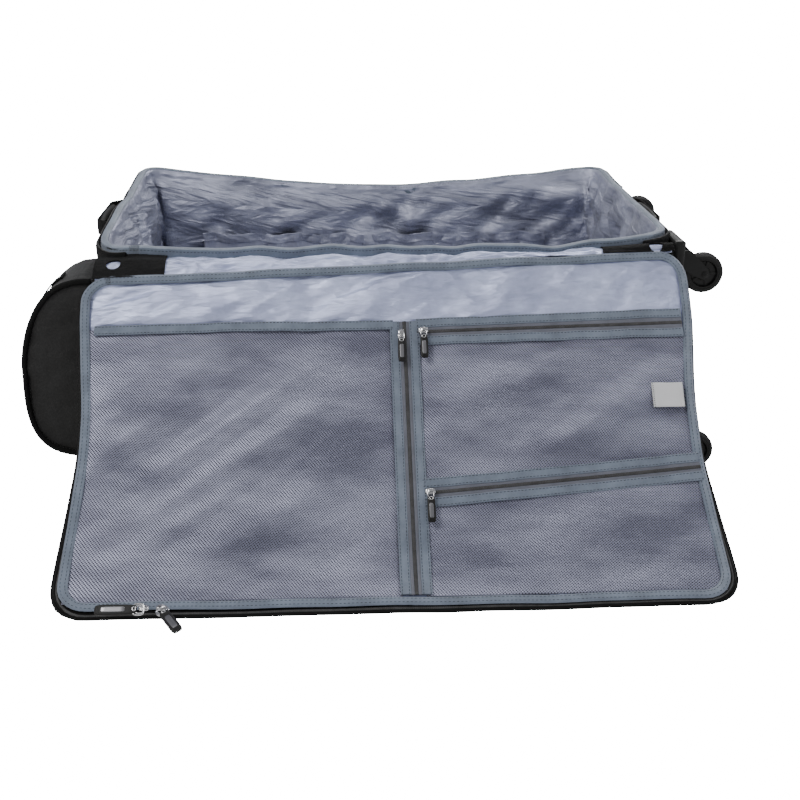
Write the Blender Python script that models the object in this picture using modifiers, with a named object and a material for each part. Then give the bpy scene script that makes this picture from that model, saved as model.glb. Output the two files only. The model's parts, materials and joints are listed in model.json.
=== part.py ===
"""Rolling duffel bag lying on its back, lid unzipped and folded down over its near long side.

Metres, +Z up. +X is the wheel end, -X the handle end, -Y the side the lid is hinged on.
The origin is the centre of the back panel's flat face, on the ground.
"""

import math

import bmesh
import bpy
from mathutils import Matrix, Vector

# Driving dimensions of the bag.
LENGTH = 0.700
WIDTH = 0.420
RIM_HEIGHT = 0.325
WALL = 0.006
GAP = 0.0004
BACK_THICKNESS = 0.010
TAPE_HEIGHT = 0.010

# Lid and its hinge gusset. Angles are measured in the YZ plane from +Y towards +Z.
GUSSET_LENGTH = 0.030
GUSSET_ANGLE = 230.0
LID_ANGLE = 224.9
LID_THICKNESS = 0.005
BAND_HEIGHT = 0.014
ZIP_TAPE_WIDTH = 0.024
DIVIDER_X = 0.0165
POCKET_TOP = 0.085
POCKET_BOTTOM = 0.412
POCKET_SIDE = 0.338
UPPER_ZIP_Y = (0.093, 0.086)
LOWER_ZIP_Y = (0.290, 0.264)
INLAY = 0.0015

# Telescopic handle.
TUBE_Y = 0.055
TUBE_Z = 0.027
TUBE_WIDTHS = (0.0200, 0.0172, 0.0144)
TUBE_HEIGHTS = (0.0160, 0.0132, 0.0104)
TUBE_LENGTHS = (0.655, 0.640, 0.625)
TUBE_WALL = 0.0010

# Casters.
WHEEL_RADIUS = 0.025
WHEEL_WIDTH = 0.018
TRAIL = 0.018
CASTER_Y = 0.172
UPPER_CASTER_Z = 0.286
UPPER_WHEEL_X = LENGTH / 2 + 0.0485
LOWER_WHEEL_X = LENGTH / 2 + 0.060

HALF_L = LENGTH / 2
HALF_W = WIDTH / 2

for old in list(bpy.data.objects):
    bpy.data.objects.remove(old)
parts = bpy.data.collections.new("rolling_duffel_bag")
cutters = bpy.data.collections.new("cutters")
bpy.context.scene.collection.children.link(parts)
bpy.context.scene.collection.children.link(cutters)


def material(name, color, roughness=0.6, metallic=0.0):
    made = bpy.data.materials.new(name)
    made.use_nodes = True
    shader = made.node_tree.nodes["Principled BSDF"]
    shader.inputs["Base Color"].default_value = (*color, 1)
    shader.inputs["Roughness"].default_value = roughness
    shader.inputs["Metallic"].default_value = metallic
    return made


def new_object(name, bm, color, parent=None, collection=parts, roughness=0.6, metallic=0.0):
    mesh = bpy.data.meshes.new(name)
    bm.to_mesh(mesh)
    bm.free()
    obj = bpy.data.objects.new(name, mesh)
    mesh.materials.append(material(name, color, roughness, metallic))
    obj.parent = parent
    collection.objects.link(obj)
    return obj


def empty(name, location, angle=0.0, parent=None):
    """An empty on a joint's axis, turned about X by the angle in degrees."""
    obj = bpy.data.objects.new(name, None)
    obj.location = location
    obj.rotation_euler = (math.radians(angle), 0, 0)
    obj.parent = parent
    parts.objects.link(obj)
    return obj


def bevel(obj, width, segments=2):
    modifier = obj.modifiers.new("edges", "BEVEL")
    modifier.width = width
    modifier.segments = segments
    return obj


def box(name, low, high, color, parent=None, rounding=0.0, segments=2, **finish):
    """A box between two corners, its edges rounded if a rounding is given."""
    low, high = Vector(low), Vector(high)
    bm = bmesh.new()
    size = Matrix.Diagonal((*(high - low), 1))
    bmesh.ops.create_cube(bm, size=1, matrix=Matrix.Translation((low + high) / 2) @ size)
    obj = new_object(name, bm, color, parent, **finish)
    if rounding:
        bevel(obj, rounding, segments)
    return obj


def outline_slab(name, points, low, high, color, axis="Z", parent=None, **finish):
    """A flat outline, extruded from low to high along Z, or along Y for points given as (x, z)."""
    bm = bmesh.new()
    if axis == "Z":
        corners = [bm.verts.new((x, y, low)) for x, y in points]
    else:
        corners = [bm.verts.new((x, low, z)) for x, z in points]
    face = bm.faces.new(corners)
    shift = Vector((0, 0, high - low)) if axis == "Z" else Vector((0, high - low, 0))
    grown = bmesh.ops.extrude_face_region(bm, geom=[face])
    moved = [item for item in grown["geom"] if isinstance(item, bmesh.types.BMVert)]
    bmesh.ops.translate(bm, verts=moved, vec=shift)
    bmesh.ops.recalc_face_normals(bm, faces=bm.faces)
    return new_object(name, bm, color, parent, **finish)


def square_tube(name, low, high, thickness, color, parent=None, **finish):
    """An open-ended square tube along X: four sides with Solidify."""
    low, high = Vector(low), Vector(high)
    bm = bmesh.new()
    size = Matrix.Diagonal((*(high - low), 1))
    bmesh.ops.create_cube(bm, size=1, matrix=Matrix.Translation((low + high) / 2) @ size)
    ends = [face for face in bm.faces if abs(face.normal.x) > 0.5]
    bmesh.ops.delete(bm, geom=ends, context="FACES_ONLY")
    obj = new_object(name, bm, color, parent, **finish)
    solidify = obj.modifiers.new("wall", "SOLIDIFY")
    solidify.thickness = thickness
    solidify.offset = -1
    return obj


def combine(obj, other, operation="UNION"):
    """Joins the other object to this one, or cuts it out, and hides the other."""
    parts.objects.unlink(other)
    cutters.objects.link(other)
    other.hide_render = True
    other.display_type = "WIRE"
    modifier = obj.modifiers.new(operation.lower() + "_" + other.name, "BOOLEAN")
    modifier.operation = operation
    modifier.object = other
    return obj


def cylinder(name, radius, start, length, axis, color, parent=None, sides=16, **finish):
    """A cylinder from a start point along X or Y."""
    turn = Matrix.Rotation(math.pi / 2, 4, "Y" if axis == "X" else "X")
    middle = Vector(start)
    middle["XYZ".index(axis)] += length / 2
    bm = bmesh.new()
    bmesh.ops.create_cone(
        bm,
        cap_ends=True,
        segments=sides,
        radius1=radius,
        radius2=radius,
        depth=length,
        matrix=Matrix.Translation(middle) @ turn,
    )
    return new_object(name, bm, color, parent, **finish)


def turned(name, profile, location, color, parent=None, steps=24, **finish):
    """A shape turned about its local Z from (radius, height) points, laid with Z along world Y."""
    bm = bmesh.new()
    points = [bm.verts.new((radius, 0, height)) for radius, height in profile]
    for first, second in zip(points, points[1:]):
        bm.edges.new((first, second))
    if profile[0][0] > 0:
        bm.edges.new((points[-1], points[0]))
    obj = new_object(name, bm, color, parent, **finish)
    obj.location = location
    obj.rotation_euler = (math.pi / 2, 0, 0)
    screw = obj.modifiers.new("turn", "SCREW")
    screw.steps = screw.render_steps = steps
    screw.use_merge_vertices = True
    screw.merge_threshold = 0.0001
    return obj


BLACK = (0.012, 0.012, 0.014)
LINING = (0.40, 0.43, 0.55)
BINDING = (0.22, 0.30, 0.38)
MESH = (0.26, 0.28, 0.36)
RUBBER = (0.02, 0.02, 0.022)
PLASTIC = (0.015, 0.015, 0.017)
METAL = (0.55, 0.56, 0.58)


def bag_body():
    """Back panel, the four walls, the floor lining over the handle tubes, and the zip tape on the rim."""
    wall_low = BACK_THICKNESS + GAP
    wall_top = RIM_HEIGHT - TAPE_HEIGHT - GAP
    inner_l, inner_w = HALF_L - WALL, HALF_W - WALL
    box("back_panel", (-HALF_L, -HALF_W, 0), (HALF_L, HALF_W, BACK_THICKNESS), BLACK)
    box("near_wall", (-HALF_L, -HALF_W, wall_low), (HALF_L, -inner_w, wall_top), BLACK)
    box("far_wall", (-HALF_L, inner_w, wall_low), (HALF_L, HALF_W, wall_top), BLACK)
    side = inner_w - GAP
    box("handle_end_wall", (-HALF_L, -side, wall_low), (-inner_l, side, wall_top), BLACK)
    box("wheel_end_wall", (inner_l, -side, wall_low), (HALF_L, side, wall_top), BLACK)
    box(
        "floor_lining",
        (-inner_l + GAP, -side, 0.040),
        (inner_l - GAP, side, 0.043),
        LINING,
    )
    box(
        "inner_pocket",
        (-0.26, side - 0.006, 0.06),
        (0.26, side, 0.235),
        LINING,
        rounding=0.002,
    )
    tape_low = RIM_HEIGHT - TAPE_HEIGHT
    tape = 0.003
    rail = [
        (-HALF_L, -HALF_W),
        (-HALF_L + tape, -HALF_W),
        (-HALF_L + tape, HALF_W - tape),
        (HALF_L - tape, HALF_W - tape),
        (HALF_L - tape, -HALF_W),
        (HALF_L, -HALF_W),
        (HALF_L, HALF_W),
        (-HALF_L, HALF_W),
    ]
    outline_slab("body_zip_tape", rail, tape_low, RIM_HEIGHT, BLACK)
    box(
        "hinge_tape",
        (-HALF_L + tape + GAP, -HALF_W, tape_low),
        (HALF_L - tape - GAP, -HALF_W + tape, RIM_HEIGHT - 0.002),
        BINDING,
    )


def end_pouch():
    """The padded D-shaped pouch on the handle end: straight against the wall, round outside."""
    reach, low, high = 0.100, 0.040, 0.285
    middle, half = (low + high) / 2, (high - low) / 2
    back = -HALF_L - GAP
    points = []
    for step in range(17):
        angle = math.pi / 2 + math.pi * step / 16
        bulge = abs(math.cos(angle)) ** 0.62
        rise = math.copysign(abs(math.sin(angle)) ** 0.72, math.sin(angle))
        points.append((back - 0.006 - (reach - 0.006) * bulge, middle + half * rise))
    points.append((back, middle - half))
    points.append((back, middle + half))
    pouch = outline_slab("end_pouch", points, -HALF_W + 0.006, -0.088, BLACK, axis="Y")
    return pouch


def carry_handle(name, side):
    """A padded grab handle on an end wall, high up at mid width: a grip on two feet."""
    wall = side * (HALF_L + GAP)
    reach = side * 0.026
    z = RIM_HEIGHT - 0.022
    hub = empty(name + "_slide", (wall, 0, z))
    half, foot = 0.085, 0.022
    x = sorted((reach * 0.55, reach))
    grip = box(
        name, (x[0], -half, -0.010), (x[1], half, 0.010), BLACK, hub, rounding=0.004
    )
    for index, y in enumerate((-half, half - foot)):
        x = sorted((0, reach * 0.62))
        leg = box(f"{name}_foot_{index}", (x[0], y, -0.009), (x[1], y + foot, 0.009), BLACK, hub)
        combine(grip, leg)


def telescopic_handle():
    """Two pairs of nested square tubes on the back panel, a grip with a button, and a housing."""
    open_x = -HALF_L + WALL + 0.001
    lower = empty("lower_stage_slide", (0, 0, TUBE_Z))
    upper = empty("upper_stage_slide", (0, 0, 0), parent=lower)
    stages = (("outer_tube", None), ("lower_tube", lower), ("upper_tube", upper))
    for (base, parent), width, height, length in zip(
        stages, TUBE_WIDTHS, TUBE_HEIGHTS, TUBE_LENGTHS
    ):
        z = 0 if parent else TUBE_Z
        for label, y in (("near", -TUBE_Y), ("far", TUBE_Y)):
            start = open_x if parent is None else -HALF_L - 0.006
            square_tube(
                f"{base}_{label}",
                (start, y - width / 2, z - height / 2),
                (open_x + length, y + width / 2, z + height / 2),
                TUBE_WALL,
                METAL,
                parent,
                metallic=0.9,
                roughness=0.35,
            )
    mouth = -HALF_L - 0.0065
    for index, y in enumerate((-TUBE_Y, TUBE_Y)):
        hole = box(
            f"wall_hole_{index}",
            (-HALF_L - 0.02, y - 0.0094, TUBE_Z - 0.0074),
            (-HALF_L + 0.008, y + 0.0094, TUBE_Z + 0.0074),
            METAL,
        )
        combine(bpy.data.objects["handle_end_wall"], hole, "DIFFERENCE")
    housing = box(
        "handle_housing",
        (-HALF_L - 0.005, -0.078, 0.0115),
        (-HALF_L - GAP, 0.078, 0.0425),
        PLASTIC,
        rounding=0.002,
    )
    for index in range(2):
        hole = bpy.data.objects[f"wall_hole_{index}"]
        modifier = housing.modifiers.new(f"hole_{index}", "BOOLEAN")
        modifier.operation = "DIFFERENCE"
        modifier.object = hole
    grip = box(
        "handle_grip",
        (mouth - 0.022, -0.072, -0.0115),
        (mouth, 0.072, 0.0115),
        PLASTIC,
        upper,
        rounding=0.004,
    )
    pocket = box(
        "button_pocket",
        (mouth - 0.030, -0.0135, -0.0055),
        (mouth - 0.012, 0.0135, 0.0055),
        PLASTIC,
        upper,
    )
    combine(grip, pocket, "DIFFERENCE")
    press = empty("release_button_slide", (mouth - 0.0225, 0, 0), parent=upper)
    box(
        "release_button",
        (-0.002, -0.013, -0.005),
        (0.0055, 0.013, 0.005),
        PLASTIC,
        press,
        rounding=0.001,
    )
    for label, y in (("near", -TUBE_Y), ("far", TUBE_Y)):
        box(
            f"tube_foot_{label}",
            (HALF_L - WALL - 0.024, y - 0.016, BACK_THICKNESS + GAP),
            (HALF_L - WALL - GAP, y + 0.016, 0.0392),
            PLASTIC,
            rounding=0.002,
        )


def caster(label, y, wheel_x, stem_z, housing_low, housing_high):
    """A swivel caster on the wheel end: housing, fork, hub with its axle, and tyre."""
    back = HALF_L + GAP
    front = back + 0.0155
    box(
        f"caster_housing_{label}",
        (back, y - 0.033, housing_low),
        (front, y + 0.033, housing_high),
        PLASTIC,
        rounding=0.005,
        segments=3,
    )
    swivel = empty(f"swivel_{label}", (front + GAP, y, stem_z))
    axle = empty(f"spin_{label}", (wheel_x - front - GAP, 0, -TRAIL), parent=swivel)
    inner = WHEEL_WIDTH / 2 + 0.0008
    outer = inner + 0.0028
    reach = wheel_x - front - GAP
    cheek = [
        (0.0, 0.013),
        (0.012, 0.013),
        (reach + 0.005, -TRAIL + 0.006),
        (reach + 0.006, -TRAIL - 0.003),
        (reach, -TRAIL - 0.007),
        (reach - 0.008, -TRAIL - 0.004),
        (0.004, -0.012),
        (0.0, -0.012),
    ]
    fork = outline_slab(f"fork_{label}", cheek, -outer, -inner, PLASTIC, axis="Y", parent=swivel)
    other = outline_slab(f"cheek_{label}", cheek, inner, outer, PLASTIC, axis="Y", parent=swivel)
    crown = box(
        f"crown_{label}",
        (0.0, -inner - 0.001, -0.012),
        (0.0052, inner + 0.001, 0.013),
        PLASTIC,
        swivel,
    )
    combine(fork, crown)
    combine(fork, other)
    bore = cylinder(
        f"bore_{label}", 0.0027, (reach, -0.03, -TRAIL), 0.06, "Y", PLASTIC, swivel
    )
    combine(fork, bore, "DIFFERENCE")
    half = WHEEL_WIDTH / 2
    tread = WHEEL_RADIUS - 0.0055
    tyre = [
        (WHEEL_RADIUS, half - 0.003),
        (WHEEL_RADIUS, -half + 0.003),
        (WHEEL_RADIUS - 0.002, -half),
        (tread, -half),
        (tread, half),
        (WHEEL_RADIUS - 0.002, half),
    ]
    turned(f"tyre_{label}", tyre, (0, 0, 0), RUBBER, axle)
    rim = tread - 0.0003
    hub = [
        (0.0, outer),
        (0.0024, outer),
        (0.0024, half),
        (0.007, half),
        (0.009, half - 0.004),
        (rim - 0.004, half - 0.004),
        (rim - 0.002, half - 0.0005),
        (rim, half - 0.0005),
        (rim, -half + 0.0005),
        (rim - 0.002, -half + 0.0005),
        (rim - 0.004, -half + 0.004),
        (0.009, -half + 0.004),
        (0.007, -half),
        (0.0024, -half),
        (0.0024, -outer),
        (0.0, -outer),
    ]
    turned(f"hub_{label}", hub, (0, 0, 0), PLASTIC, axle)


def zip_line(ends, x):
    """Height on the lid of a zip that runs across the right half, at x."""
    left, right = DIVIDER_X + ZIP_TAPE_WIDTH / 2, POCKET_SIDE
    return ends[0] + (ends[1] - ends[0]) * (x - left) / (right - left)


def slider_and_pull(name, parent, location, heading, tab_heading, length=0.030, width=0.008):
    """A zip slider that faces down -Z, and its pull tab on a hinge, both turned about Z."""
    rail = empty(name + "_slide", location, parent=parent)
    rail.rotation_euler = (0, 0, math.radians(heading))
    box(
        name + "_slider",
        (-0.0055, -0.0038, -0.0045),
        (0.0055, 0.0038, 0),
        METAL,
        rail,
        rounding=0.001,
        metallic=1.0,
        roughness=0.2,
    )
    hinge = empty(name + "_pull_hinge", (0, 0, -0.0030), parent=rail)
    hinge.rotation_euler = (0, 0, math.radians(tab_heading))
    box(
        name + "_pull",
        (0.0062, -width / 2, -0.0012),
        (0.0062 + length, width / 2, 0.0012),
        PLASTIC,
        hinge,
        rounding=0.0005,
    )
    return rail


def lid():
    """The gusset strip, the lid panel with its edge band, the mesh pockets, their zips and a label."""
    gusset = empty("gusset_hinge", (0, -HALF_W, RIM_HEIGHT), GUSSET_ANGLE)
    inset = 0.006
    box(
        "hinge_gusset",
        (-HALF_L + inset, 0.003, -0.001),
        (HALF_L - inset, GUSSET_LENGTH - 0.003, 0.001),
        LINING,
        gusset,
    )
    turn = math.radians(GUSSET_ANGLE)
    hinge = Vector((0, -HALF_W, RIM_HEIGHT))
    hinge += GUSSET_LENGTH * Vector((0, math.cos(turn), math.sin(turn)))
    frame = empty("lid_hinge", hinge, LID_ANGLE)
    box("lid_panel", (-HALF_L, 0.001, 0), (HALF_L, WIDTH, LID_THICKNESS), BLACK, frame)
    band = 0.004
    rail = [
        (-HALF_L, 0.001),
        (-HALF_L + band, 0.001),
        (-HALF_L + band, WIDTH - band),
        (HALF_L - band, WIDTH - band),
        (HALF_L - band, 0.001),
        (HALF_L, 0.001),
        (HALF_L, WIDTH),
        (-HALF_L, WIDTH),
    ]
    outline_slab("lid_band", rail, -BAND_HEIGHT, -GAP, BLACK, parent=frame)
    low, high = -GAP - INLAY, -GAP
    left = DIVIDER_X - ZIP_TAPE_WIDTH / 2
    right = DIVIDER_X + ZIP_TAPE_WIDTH / 2
    pocket_left = -POCKET_SIDE
    half = ZIP_TAPE_WIDTH / 2

    def slab(name, points, color):
        outline_slab(name, points, low, high, color, parent=frame)

    def across(ends, shift, start=right + GAP):
        return [(x, zip_line(ends, x) + shift) for x in (start, POCKET_SIDE)]

    slab(
        "mesh_pocket_left",
        [
            (pocket_left, POCKET_TOP),
            (left - GAP, POCKET_TOP),
            (left - GAP, POCKET_BOTTOM),
            (pocket_left, POCKET_BOTTOM),
        ],
        MESH,
    )
    slab(
        "divider_zip_tape",
        [(left, POCKET_TOP), (right, POCKET_TOP), (right, POCKET_BOTTOM), (left, POCKET_BOTTOM)],
        BINDING,
    )
    slab(
        "upper_zip_tape",
        across(UPPER_ZIP_Y, -half) + across(UPPER_ZIP_Y, half)[::-1],
        BINDING,
    )
    slab(
        "mesh_pocket_upper",
        across(UPPER_ZIP_Y, half + GAP) + across(LOWER_ZIP_Y, -half - GAP)[::-1],
        MESH,
    )
    slab(
        "lower_zip_tape",
        across(LOWER_ZIP_Y, -half) + across(LOWER_ZIP_Y, half)[::-1],
        BINDING,
    )
    slab(
        "mesh_pocket_lower",
        across(LOWER_ZIP_Y, half + GAP)
        + [(POCKET_SIDE, POCKET_BOTTOM), (right + GAP, POCKET_BOTTOM)],
        MESH,
    )
    box(
        "care_label",
        (POCKET_SIDE - 0.040, 0.164, low - 0.0011),
        (POCKET_SIDE - 0.004, 0.192, low - GAP),
        (0.8, 0.8, 0.82),
        frame,
    )
    surface = low - GAP
    slider_and_pull("divider_zip", frame, (DIVIDER_X - 0.004, POCKET_TOP + 0.012, surface), 90, 0)
    for name, ends in (("upper_zip", UPPER_ZIP_Y), ("lower_zip", LOWER_ZIP_Y)):
        start = right + 0.010
        slope = math.degrees(math.atan2(ends[1] - ends[0], POCKET_SIDE - right))
        place = (start, zip_line(ends, start), surface)
        slider_and_pull(name, frame, place, slope, 90 - slope)
    turn = math.radians(LID_ANGLE)
    edge = hinge + Matrix.Rotation(turn, 3, "X") @ Vector((0, WIDTH + 0.0068, -0.008))
    for name, x, heading in (("main_zip_left", -0.264, 180), ("main_zip_right", -0.246, -62)):
        rail = empty(name + "_slide", (x, edge.y, edge.z))
        box(
            name + "_slider",
            (-0.006, -0.0042, -0.0040),
            (0.006, 0.0030, 0.0040),
            METAL,
            rail,
            rounding=0.001,
            metallic=1.0,
            roughness=0.2,
        )
        hinge_empty = empty(name + "_pull_hinge", (0, 0, 0), parent=rail)
        hinge_empty.rotation_euler = (0, 0, math.radians(heading))
        box(
            name + "_pull",
            (0.0078, -0.0055, -0.0014),
            (0.0500, 0.0055, 0.0014),
            PLASTIC,
            hinge_empty,
            rounding=0.0006,
        )


bag_body()
end_pouch()
carry_handle("top_carry_handle", -1)
carry_handle("bottom_carry_handle", 1)
telescopic_handle()
for side, y in (("near", -CASTER_Y), ("far", CASTER_Y)):
    stem = UPPER_CASTER_Z
    caster("upper_" + side, y, UPPER_WHEEL_X, stem, stem - 0.026, stem + 0.030)
    stem = WHEEL_RADIUS + TRAIL + 0.0004
    caster("lower_" + side, y, LOWER_WHEEL_X, stem, stem - 0.031, stem + 0.026)
lid()
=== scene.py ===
"""Rolling duffel bag, open on its back: the soft goods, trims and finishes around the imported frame."""

import json
import math

import bmesh
import bpy
from mathutils import Matrix, Vector, noise
from mathutils.bvhtree import BVHTree


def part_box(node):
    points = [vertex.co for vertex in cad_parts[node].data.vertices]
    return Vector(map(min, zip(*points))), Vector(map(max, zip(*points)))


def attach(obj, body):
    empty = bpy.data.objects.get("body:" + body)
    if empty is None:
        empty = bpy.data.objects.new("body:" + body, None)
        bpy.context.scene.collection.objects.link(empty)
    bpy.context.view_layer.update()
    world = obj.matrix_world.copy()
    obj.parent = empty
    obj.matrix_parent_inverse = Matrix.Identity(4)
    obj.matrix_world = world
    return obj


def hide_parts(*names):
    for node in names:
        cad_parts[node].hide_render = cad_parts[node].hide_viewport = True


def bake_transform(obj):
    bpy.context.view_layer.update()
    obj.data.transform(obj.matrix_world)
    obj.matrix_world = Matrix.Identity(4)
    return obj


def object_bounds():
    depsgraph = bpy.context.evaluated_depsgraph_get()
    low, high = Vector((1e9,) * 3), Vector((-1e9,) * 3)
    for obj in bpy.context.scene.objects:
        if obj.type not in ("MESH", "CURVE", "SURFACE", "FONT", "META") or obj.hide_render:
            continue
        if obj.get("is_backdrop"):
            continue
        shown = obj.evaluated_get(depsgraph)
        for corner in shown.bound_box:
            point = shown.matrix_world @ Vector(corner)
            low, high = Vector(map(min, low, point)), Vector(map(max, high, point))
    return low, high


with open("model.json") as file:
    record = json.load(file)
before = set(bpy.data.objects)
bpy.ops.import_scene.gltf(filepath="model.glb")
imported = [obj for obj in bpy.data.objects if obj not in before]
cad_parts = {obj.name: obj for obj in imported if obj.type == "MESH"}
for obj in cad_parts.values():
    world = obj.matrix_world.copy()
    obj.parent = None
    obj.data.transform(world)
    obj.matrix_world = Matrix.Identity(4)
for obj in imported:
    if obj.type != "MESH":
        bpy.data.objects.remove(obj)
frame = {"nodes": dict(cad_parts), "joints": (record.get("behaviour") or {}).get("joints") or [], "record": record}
CAD_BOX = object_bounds()
NODES = frame["nodes"]
JOINTS = {joint["name"]: joint for joint in frame["joints"]}
COUPLINGS = frame["record"]["behaviour"]["couplings"]

# Sizes that come from the frame.
BACK_LOW, BACK_HIGH = (Vector(corner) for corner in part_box("back_panel"))
HALF_L = BACK_HIGH.x
HALF_W = BACK_HIGH.y
RIM_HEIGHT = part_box("body_zip_tape")[1][2]
FLOOR_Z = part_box("floor_lining")[1][2]
LID_HINGE = Vector(JOINTS["lid_fold"]["pos_m"])
FOLD = -JOINTS["lid_fold"]["range_deg"][0] * (1 + COUPLINGS[0]["ratio"])
LID = Matrix.Translation(LID_HINGE) @ Matrix.Rotation(math.radians(FOLD), 4, "X")
LID_LENGTH = 2 * HALF_W

# Looks of the soft goods, in metres.
WALL = 0.008  # from the outer cloth to the lining
LID_SAG = 0.017
TAPE = 0.0092  # width of the lid's binding
TOP_DROP = 0.005  # how far the lid's top edge hangs below the hinge line
TOP_TILT = 0.016  # and how much that changes from the middle to one end
POCKET_TOP = 0.085
POCKET_SIDE = 0.336
DIVIDER_X = 0.0165
ZIP_WIDTH = 0.033
UPPER_ZIP_Y = (0.093, 0.086)  # where the sloping zips start and end, down the lid
LOWER_ZIP_Y = (0.290, 0.264)
SATIN_REACH = (-0.262, 0.258)  # the satin shows between these; black tabs cover the rest
SKIN = 0.0015  # the outer cloth lies this far inside the CAD walls
NET_SEAM = 0.010  # from the middle of a zip to the net beside it
TAB_LIFT = 0.0024  # the hinge's tabs lie over its satin
BACKING_LIFT = -0.0042  # and its backing lies under it

# The usual row of stitches: the step from one to the next, and its (along, side, up) size.
STITCH_STEP = 0.0042
STITCH = (0.0026, 0.0004, 0.0003)
TOOTH_STEP = 0.0021


def smooth(low, high, value):
    """0 below low, 1 above high, and a smooth step between them."""
    t = min(max((value - low) / (high - low), 0.0), 1.0)
    return t * t * (3 - 2 * t)


def rough(x, y, scale, seed=0.0):
    return noise.noise(Vector((x * scale, y * scale, seed)))


# ---------------------------------------------------------------- materials


class Shade:
    """A Principled material with a few short ways to add nodes."""

    def __init__(self, name, roughness=0.6, metallic=0.0, sheen=0.0, specular=0.5):
        self.material = bpy.data.materials.new(name)
        self.material.use_nodes = True
        self.tree = self.material.node_tree
        self.shader = self.tree.nodes["Principled BSDF"]
        self.set("Roughness", roughness)
        self.set("Metallic", metallic)
        self.set("Sheen Weight", sheen)
        self.set("Specular IOR Level", specular)

    def set(self, socket, value):
        self.shader.inputs[socket].default_value = value

    def node(self, kind, **inputs):
        made = self.tree.nodes.new(kind)
        for key, value in inputs.items():
            self.feed(made, key.replace("_", " "), value)
        return made

    def feed(self, node, socket, value):
        if isinstance(value, bpy.types.NodeSocket):
            self.tree.links.new(value, node.inputs[socket])
        else:
            node.inputs[socket].default_value = value

    def place(self, scale=(1, 1, 1), turn=0.0, flat=True):
        """Coordinates in metres, flat along the cloth or in space, then scaled and turned."""
        if flat:
            source = self.tree.nodes.new("ShaderNodeUVMap")
            source.uv_map = "flat"
            vector = source.outputs["UV"]
        else:
            vector = self.tree.nodes.new("ShaderNodeTexCoord").outputs["Object"]
        mapping = self.node("ShaderNodeMapping", Vector=vector)
        mapping.inputs["Scale"].default_value = scale
        mapping.inputs["Rotation"].default_value = (0, 0, turn)
        return mapping.outputs["Vector"]

    def noise(self, vector, scale, detail=4.0, roughness=0.55):
        return self.node(
            "ShaderNodeTexNoise", Vector=vector, Scale=scale, Detail=detail, Roughness=roughness
        ).outputs["Fac"]

    def wave(self, vector, scale, direction="X", distortion=0.0):
        made = self.node("ShaderNodeTexWave", Vector=vector, Scale=scale, Distortion=distortion)
        made.bands_direction = direction
        return made.outputs["Fac"]

    def math(self, operation, first, second=0.0):
        made = self.tree.nodes.new("ShaderNodeMath")
        made.operation = operation
        for socket, value in zip(made.inputs, (first, second)):
            if isinstance(value, bpy.types.NodeSocket):
                self.tree.links.new(value, socket)
            else:
                socket.default_value = value
        return made.outputs[0]

    def ramp(self, factor, stops):
        made = self.node("ShaderNodeValToRGB", Fac=factor)
        elements = made.color_ramp.elements
        while len(elements) < len(stops):
            elements.new(0.5)
        for element, (place, color) in zip(elements, stops):
            element.position = place
            element.color = (*color, 1)
        return made.outputs["Color"]

    def color(self, socket):
        self.tree.links.new(socket, self.shader.inputs["Base Color"])

    def roughen(self, socket, low, high):
        made = self.node("ShaderNodeMapRange", Value=socket, To_Min=low, To_Max=high)
        self.tree.links.new(made.outputs["Result"], self.shader.inputs["Roughness"])

    def bump(self, height, distance, strength=1.0):
        """Adds a bump on top of the ones before it."""
        made = self.node("ShaderNodeBump", Height=height, Distance=distance, Strength=strength)
        target = self.shader.inputs["Normal"]
        if target.links:
            self.tree.links.new(target.links[0].from_socket, made.inputs["Normal"])
        self.tree.links.new(made.outputs["Normal"], target)


def weave(shade, scale, distance, flat=True):
    """Plain weave: two crossing sets of threads as a bump."""
    vector = shade.place(flat=flat)
    across = shade.wave(vector, scale, "X")
    along = shade.wave(vector, scale, "Y" if flat else "Z")
    threads = shade.math("MULTIPLY", across, along)
    shade.bump(threads, distance)
    return threads


def satin(name, dark, light, crease=0.0022, gloss=0.34):
    """Shiny lining cloth: fine weave, small creases, and a colour that shifts gently, its lighter patches a
    painted sheen highlight.
    """
    shade = Shade(name, roughness=gloss, metallic=0.45, sheen=0.1)
    # painted sheen: the light colour of this ramp is a highlight colour, laid on in random noise patches
    cloudy = shade.noise(shade.place(), 14, 5)
    shade.color(shade.ramp(cloudy, [(0.32, dark), (0.68, light)]))
    shade.roughen(shade.noise(shade.place(), 60, 3), gloss - 0.06, gloss + 0.10)
    weave(shade, 420, 0.00012)
    shade.bump(shade.noise(shade.place((0.6, 1.7, 1), 0.6), 26, 5, 0.55), crease)
    for turn, scale, depth in ((-0.5, 8, -0.014), (0.9, 13, -0.008)):
        field = shade.noise(shade.place((1, 2.4, 1), turn), scale, 3, 0.5)
        shade.bump(shade.math("ABSOLUTE", shade.math("SUBTRACT", field, 0.5)), depth)
    return shade.material


def mesh_cloth(name, dark, light):
    """Net with rows of small holes set on the diagonal, darkened in long diagonal streaks as painted shade of its
    folds.
    """
    shade = Shade(name, roughness=0.42, metallic=0.45, sheen=0.1)
    vector = shade.place(turn=math.radians(38))
    first = shade.wave(vector, 118, "X")
    second = shade.wave(vector, 150, "Y")
    dots = shade.math("MULTIPLY", first, second)
    cells = shade.ramp(dots, [(0.16, light), (0.52, dark)])
    # painted shade: long diagonal streaks that darken the net where its folds would lie in shade
    cloudy = shade.noise(shade.place((1.0, 2.6, 1), math.radians(-40)), 7, 4)
    tint = shade.ramp(cloudy, [(0.36, (0.42, 0.42, 0.46)), (0.64, (1.0, 1.0, 1.0))])
    net_and_painted_shade = shade.tree.nodes.new("ShaderNodeMix")
    net_and_painted_shade.data_type = "RGBA"
    net_and_painted_shade.blend_type = "MULTIPLY"
    net_and_painted_shade.inputs[0].default_value = 1.0
    shade.tree.links.new(cells, net_and_painted_shade.inputs[6])
    shade.tree.links.new(tint, net_and_painted_shade.inputs[7])
    shade.color(net_and_painted_shade.outputs[2])
    shade.bump(dots, -0.0006)
    return shade.material


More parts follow.
